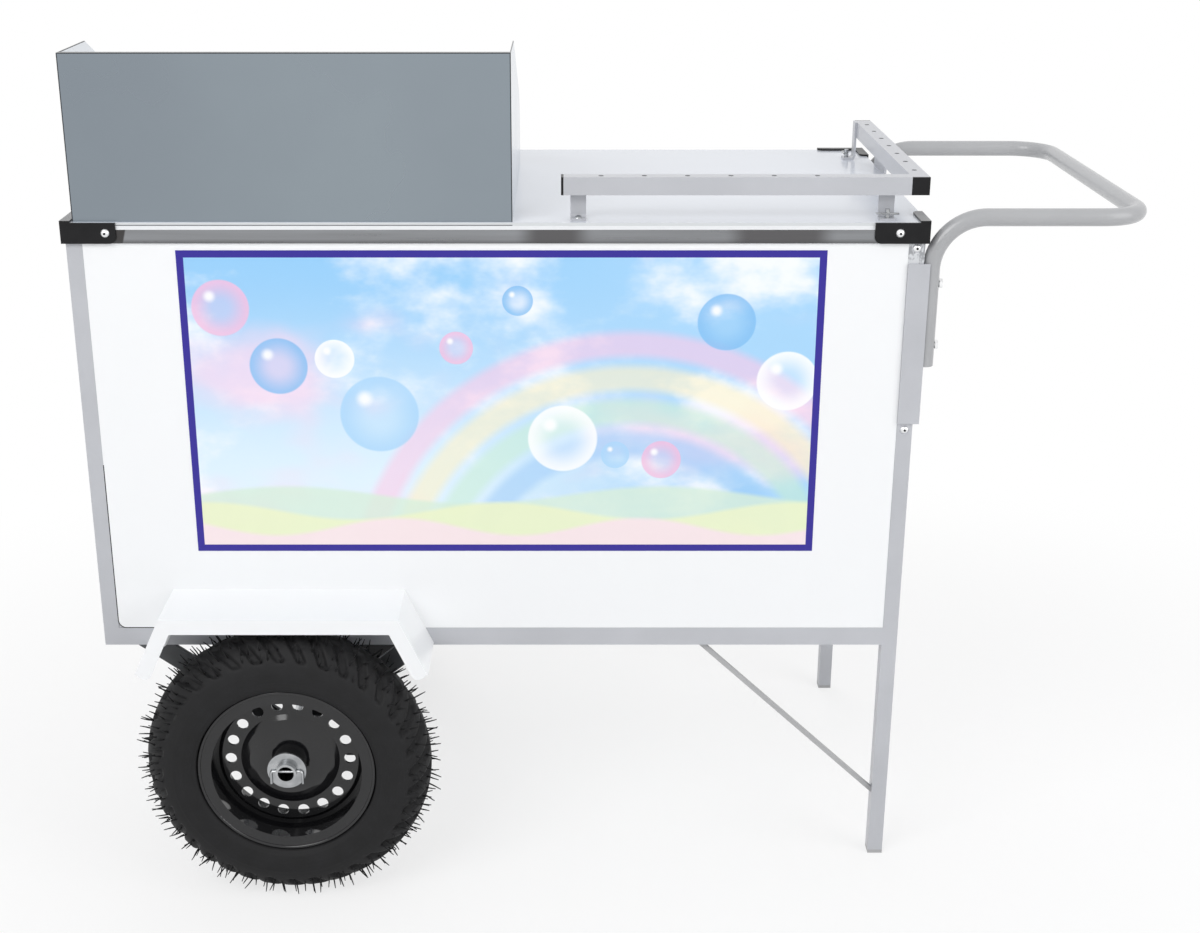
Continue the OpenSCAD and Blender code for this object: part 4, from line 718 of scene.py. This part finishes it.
def join(parts):
    """Vertices and faces of several shapes as those of one."""
    verts, faces = [], []
    for v, f in parts:
        start = len(verts)
        verts += v
        faces += [tuple(i + start for i in face) for face in f]
    return verts, faces


def arc(middle, u, v, r, first, last, steps):
    """Points on an arc between two angles, in degrees from u towards v."""
    angles = [math.radians(first + (last - first) * i / steps) for i in range(steps + 1)]
    return [middle + u * r * math.cos(a) + v * r * math.sin(a) for a in angles]


# Painted shade: flat black hexagons on the dome screws' heads stand for the shaded insides of their
# sockets
CAP_SCREW_LEFT, CAP_SCREW_RIGHT, CAP_SCREW_UP = 0.055, 0.037, 0.013
LEG_SCREW_IN, LEG_SCREW_UNDER, LEG_SCREW_OVER = 0.010, 0.0085, 0.0195
LEG_HEAD = 0.0035
SOCKET_R, SOCKET_DEEP, SOCKET_LIFT = 0.0017, 0.0008, 0.00005
# Angles of a hexagon's first and last corner, and steps between them
HEXAGON = (30, 330, 5)
cap_lo, cap_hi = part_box("corner_caps")
leg_lo, leg_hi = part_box("legs")
head_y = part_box("deck_screws")[0].y
cap_heads = [cap_lo.x + CAP_SCREW_LEFT, cap_hi.x - CAP_SCREW_RIGHT]
leg_heads = [clamp_lo.z - LEG_SCREW_UNDER, clamp_hi.z + LEG_SCREW_OVER]
heads = [(x, head_y, cap_lo.z + CAP_SCREW_UP) for x in cap_heads]
heads += [(leg_hi.x - LEG_SCREW_IN, leg_lo.y - LEG_HEAD, z) for z in leg_heads]
socket_shades = []
for x, y, z in heads:
    for sign in (1, -1):
        hexagon = arc(Vector((x, sign * (y - SOCKET_LIFT), z)), X, Z, SOCKET_R, *HEXAGON)
        socket_shades.append(prism(hexagon, Y * sign * SOCKET_DEEP))
piece("screw_socket_shades", *join(socket_shades), black_plastic, "cart", "black_plastic", smooth=False)

# Painted shade: dark rings round the stick holes, where shade falls at their edges
STICK_START = 0.046
STICK_ROWS = (("rack_front_tube", X, 0.053, 6), ("rack_side_tube", Y, 0.060, 7))
RING_OUT, RING_IN, RING_UP = 0.0031, 0.00195, 0.00025
RING_STEPS = 24
CIRCLE = (0, 360 - 360 / RING_STEPS, RING_STEPS - 1)
hole_shade_rings = []
for tube, way, pitch, count in STICK_ROWS:
    low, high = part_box(tube)
    first = Vector(((low.x + high.x) / 2, (low.y + high.y) / 2, high.z))
    first += way * (way.dot(low - first) + STICK_START)
    for i in range(count):
        middle = first + way * pitch * i
        circles = [arc(middle, X, Y, r, *CIRCLE) for r in (RING_OUT, RING_IN)]
        verts = [tuple(p + Z * up) for circle in circles for up in (0.0, RING_UP) for p in circle]
        hole_shade_rings.append((verts, tube_faces(RING_STEPS, closed=True)))
piece("hole_edge_shade", *join(hole_shade_rings), dark_steel, "cart", "dark_steel", smooth=False)

# Corner plates behind the panels' round lower corners. The front panel's right corner is filled square.
PANEL_R, LOWER_CORNER = 0.0103, (180, 270, 8)
PLATE_SUNK, PLATE_T = 0.0006, 0.001
PANEL_WAYS = (("front_panel", X, Y), ("back_panel", X, -Y), ("left_panel", Y, X), ("right_panel", Y, -X))
plates, fills = [], []
for panel, along, inward in PANEL_WAYS:
    low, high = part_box(panel)
    skin = low if inward.dot(X + Y) > 0 else high
    for start, way in ((low, along), (high, -along)):
        filled = panel == "front_panel" and start is high
        corner = Vector((start.x, start.y, low.z))
        corner += inward * (inward.dot(skin - corner) + (0.0 if filled else PLATE_SUNK))
        curve = arc(corner + (way + Z) * PANEL_R, way, Z, PANEL_R, *LOWER_CORNER)
        (fills if filled else plates).append(prism([corner] + curve, inward * PLATE_T))
piece("corner_plates", *join(plates), frame_paint, "cart", "frame_paint", smooth=False)
piece("corner_fill", *join(fills), panel_paint, "cart", "panel_paint", smooth=False)

# Painted shade: a thin black strip in the open joint at the front panel's left edge, round its corner and
# along its foot
SEAM_HALF, SEAM_PROUD, SEAM_T = 0.0006, 0.00005, 0.0004
SEAM_UP, SEAM_ALONG = 0.22, 0.06
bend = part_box("front_panel")[0] - Y * SEAM_PROUD + (X + Z) * PANEL_R
sides = []
for r in (PANEL_R + SEAM_HALF, PANEL_R - SEAM_HALF):
    curve = arc(bend, X, Z, r, *LOWER_CORNER)
    sides.append([curve[0] + Z * SEAM_UP] + curve + [curve[-1] + X * SEAM_ALONG])
verts = [tuple(p + Y * deep) for deep in (0.0, SEAM_T) for side in sides for p in side]
row = len(sides[0])
ends = [(end, row + end, 3 * row + end, 2 * row + end) for end in (0, row - 1)]
seam = tube_faces(row, closed=False) + ends
piece("panel_seam_shade", verts, seam, black_plastic, "cart", "black_plastic", smooth=False)

# Floor: pale paint near the cart that turns into plain white further out

FLOOR_HALF, FLOOR_DOWN = 6.0, 0.0005
FLOOR_TINTS, FLOOR_MOTTLE = ((0.93, 0.93, 0.93), (0.96, 0.96, 0.96)), 1.5
FLOOR_ROUGH, FLOOR_SPECULAR = (0.85, 0.95), 0.1
# Distances between which the floor turns white, and how white it is at the nearer one
HAZE_FROM, HAZE_TO, HAZE_NEAR = 0.8, 1.9, 0.7
HAZE_STRETCH = (1, 1.4, 1)

floor_mat, n, shader = material("floor")
far = n.add("ShaderNodeVectorMath", operation="LENGTH")
n.put(far.inputs[0], n.place(HAZE_STRETCH))
haze = n.times(n.between(far.outputs["Value"], HAZE_FROM, HAZE_TO, HAZE_NEAR, 1.0), n.seen())
mottle = n.noise(n.place(), FLOOR_MOTTLE)
n.put(shader.inputs["Base Color"], n.mix(mottle, *FLOOR_TINTS))
n.put(shader.inputs["Roughness"], n.between(mottle, NOISE_LOW, NOISE_HIGH, *FLOOR_ROUGH))
shader.inputs["Specular IOR Level"].default_value = FLOOR_SPECULAR
glow = n.add("ShaderNodeEmission")
n.put(glow.inputs["Color"], WHITE)
n.put(floor_mat.node_tree.nodes["Material Output"].inputs["Surface"], n.blend(haze, shader, glow))
floor_mesh = bpy.data.meshes.new("floor")
corners = [(x * FLOOR_HALF, y * FLOOR_HALF, -FLOOR_DOWN) for x, y in ((-1, -1), (1, -1), (1, 1), (-1, 1))]
floor_mesh.from_pydata(corners, [], [(0, 1, 2, 3)])
floor = bpy.data.objects.new("floor", floor_mesh)
scene.collection.objects.link(floor)
floor_mesh.materials.append(floor_mat)
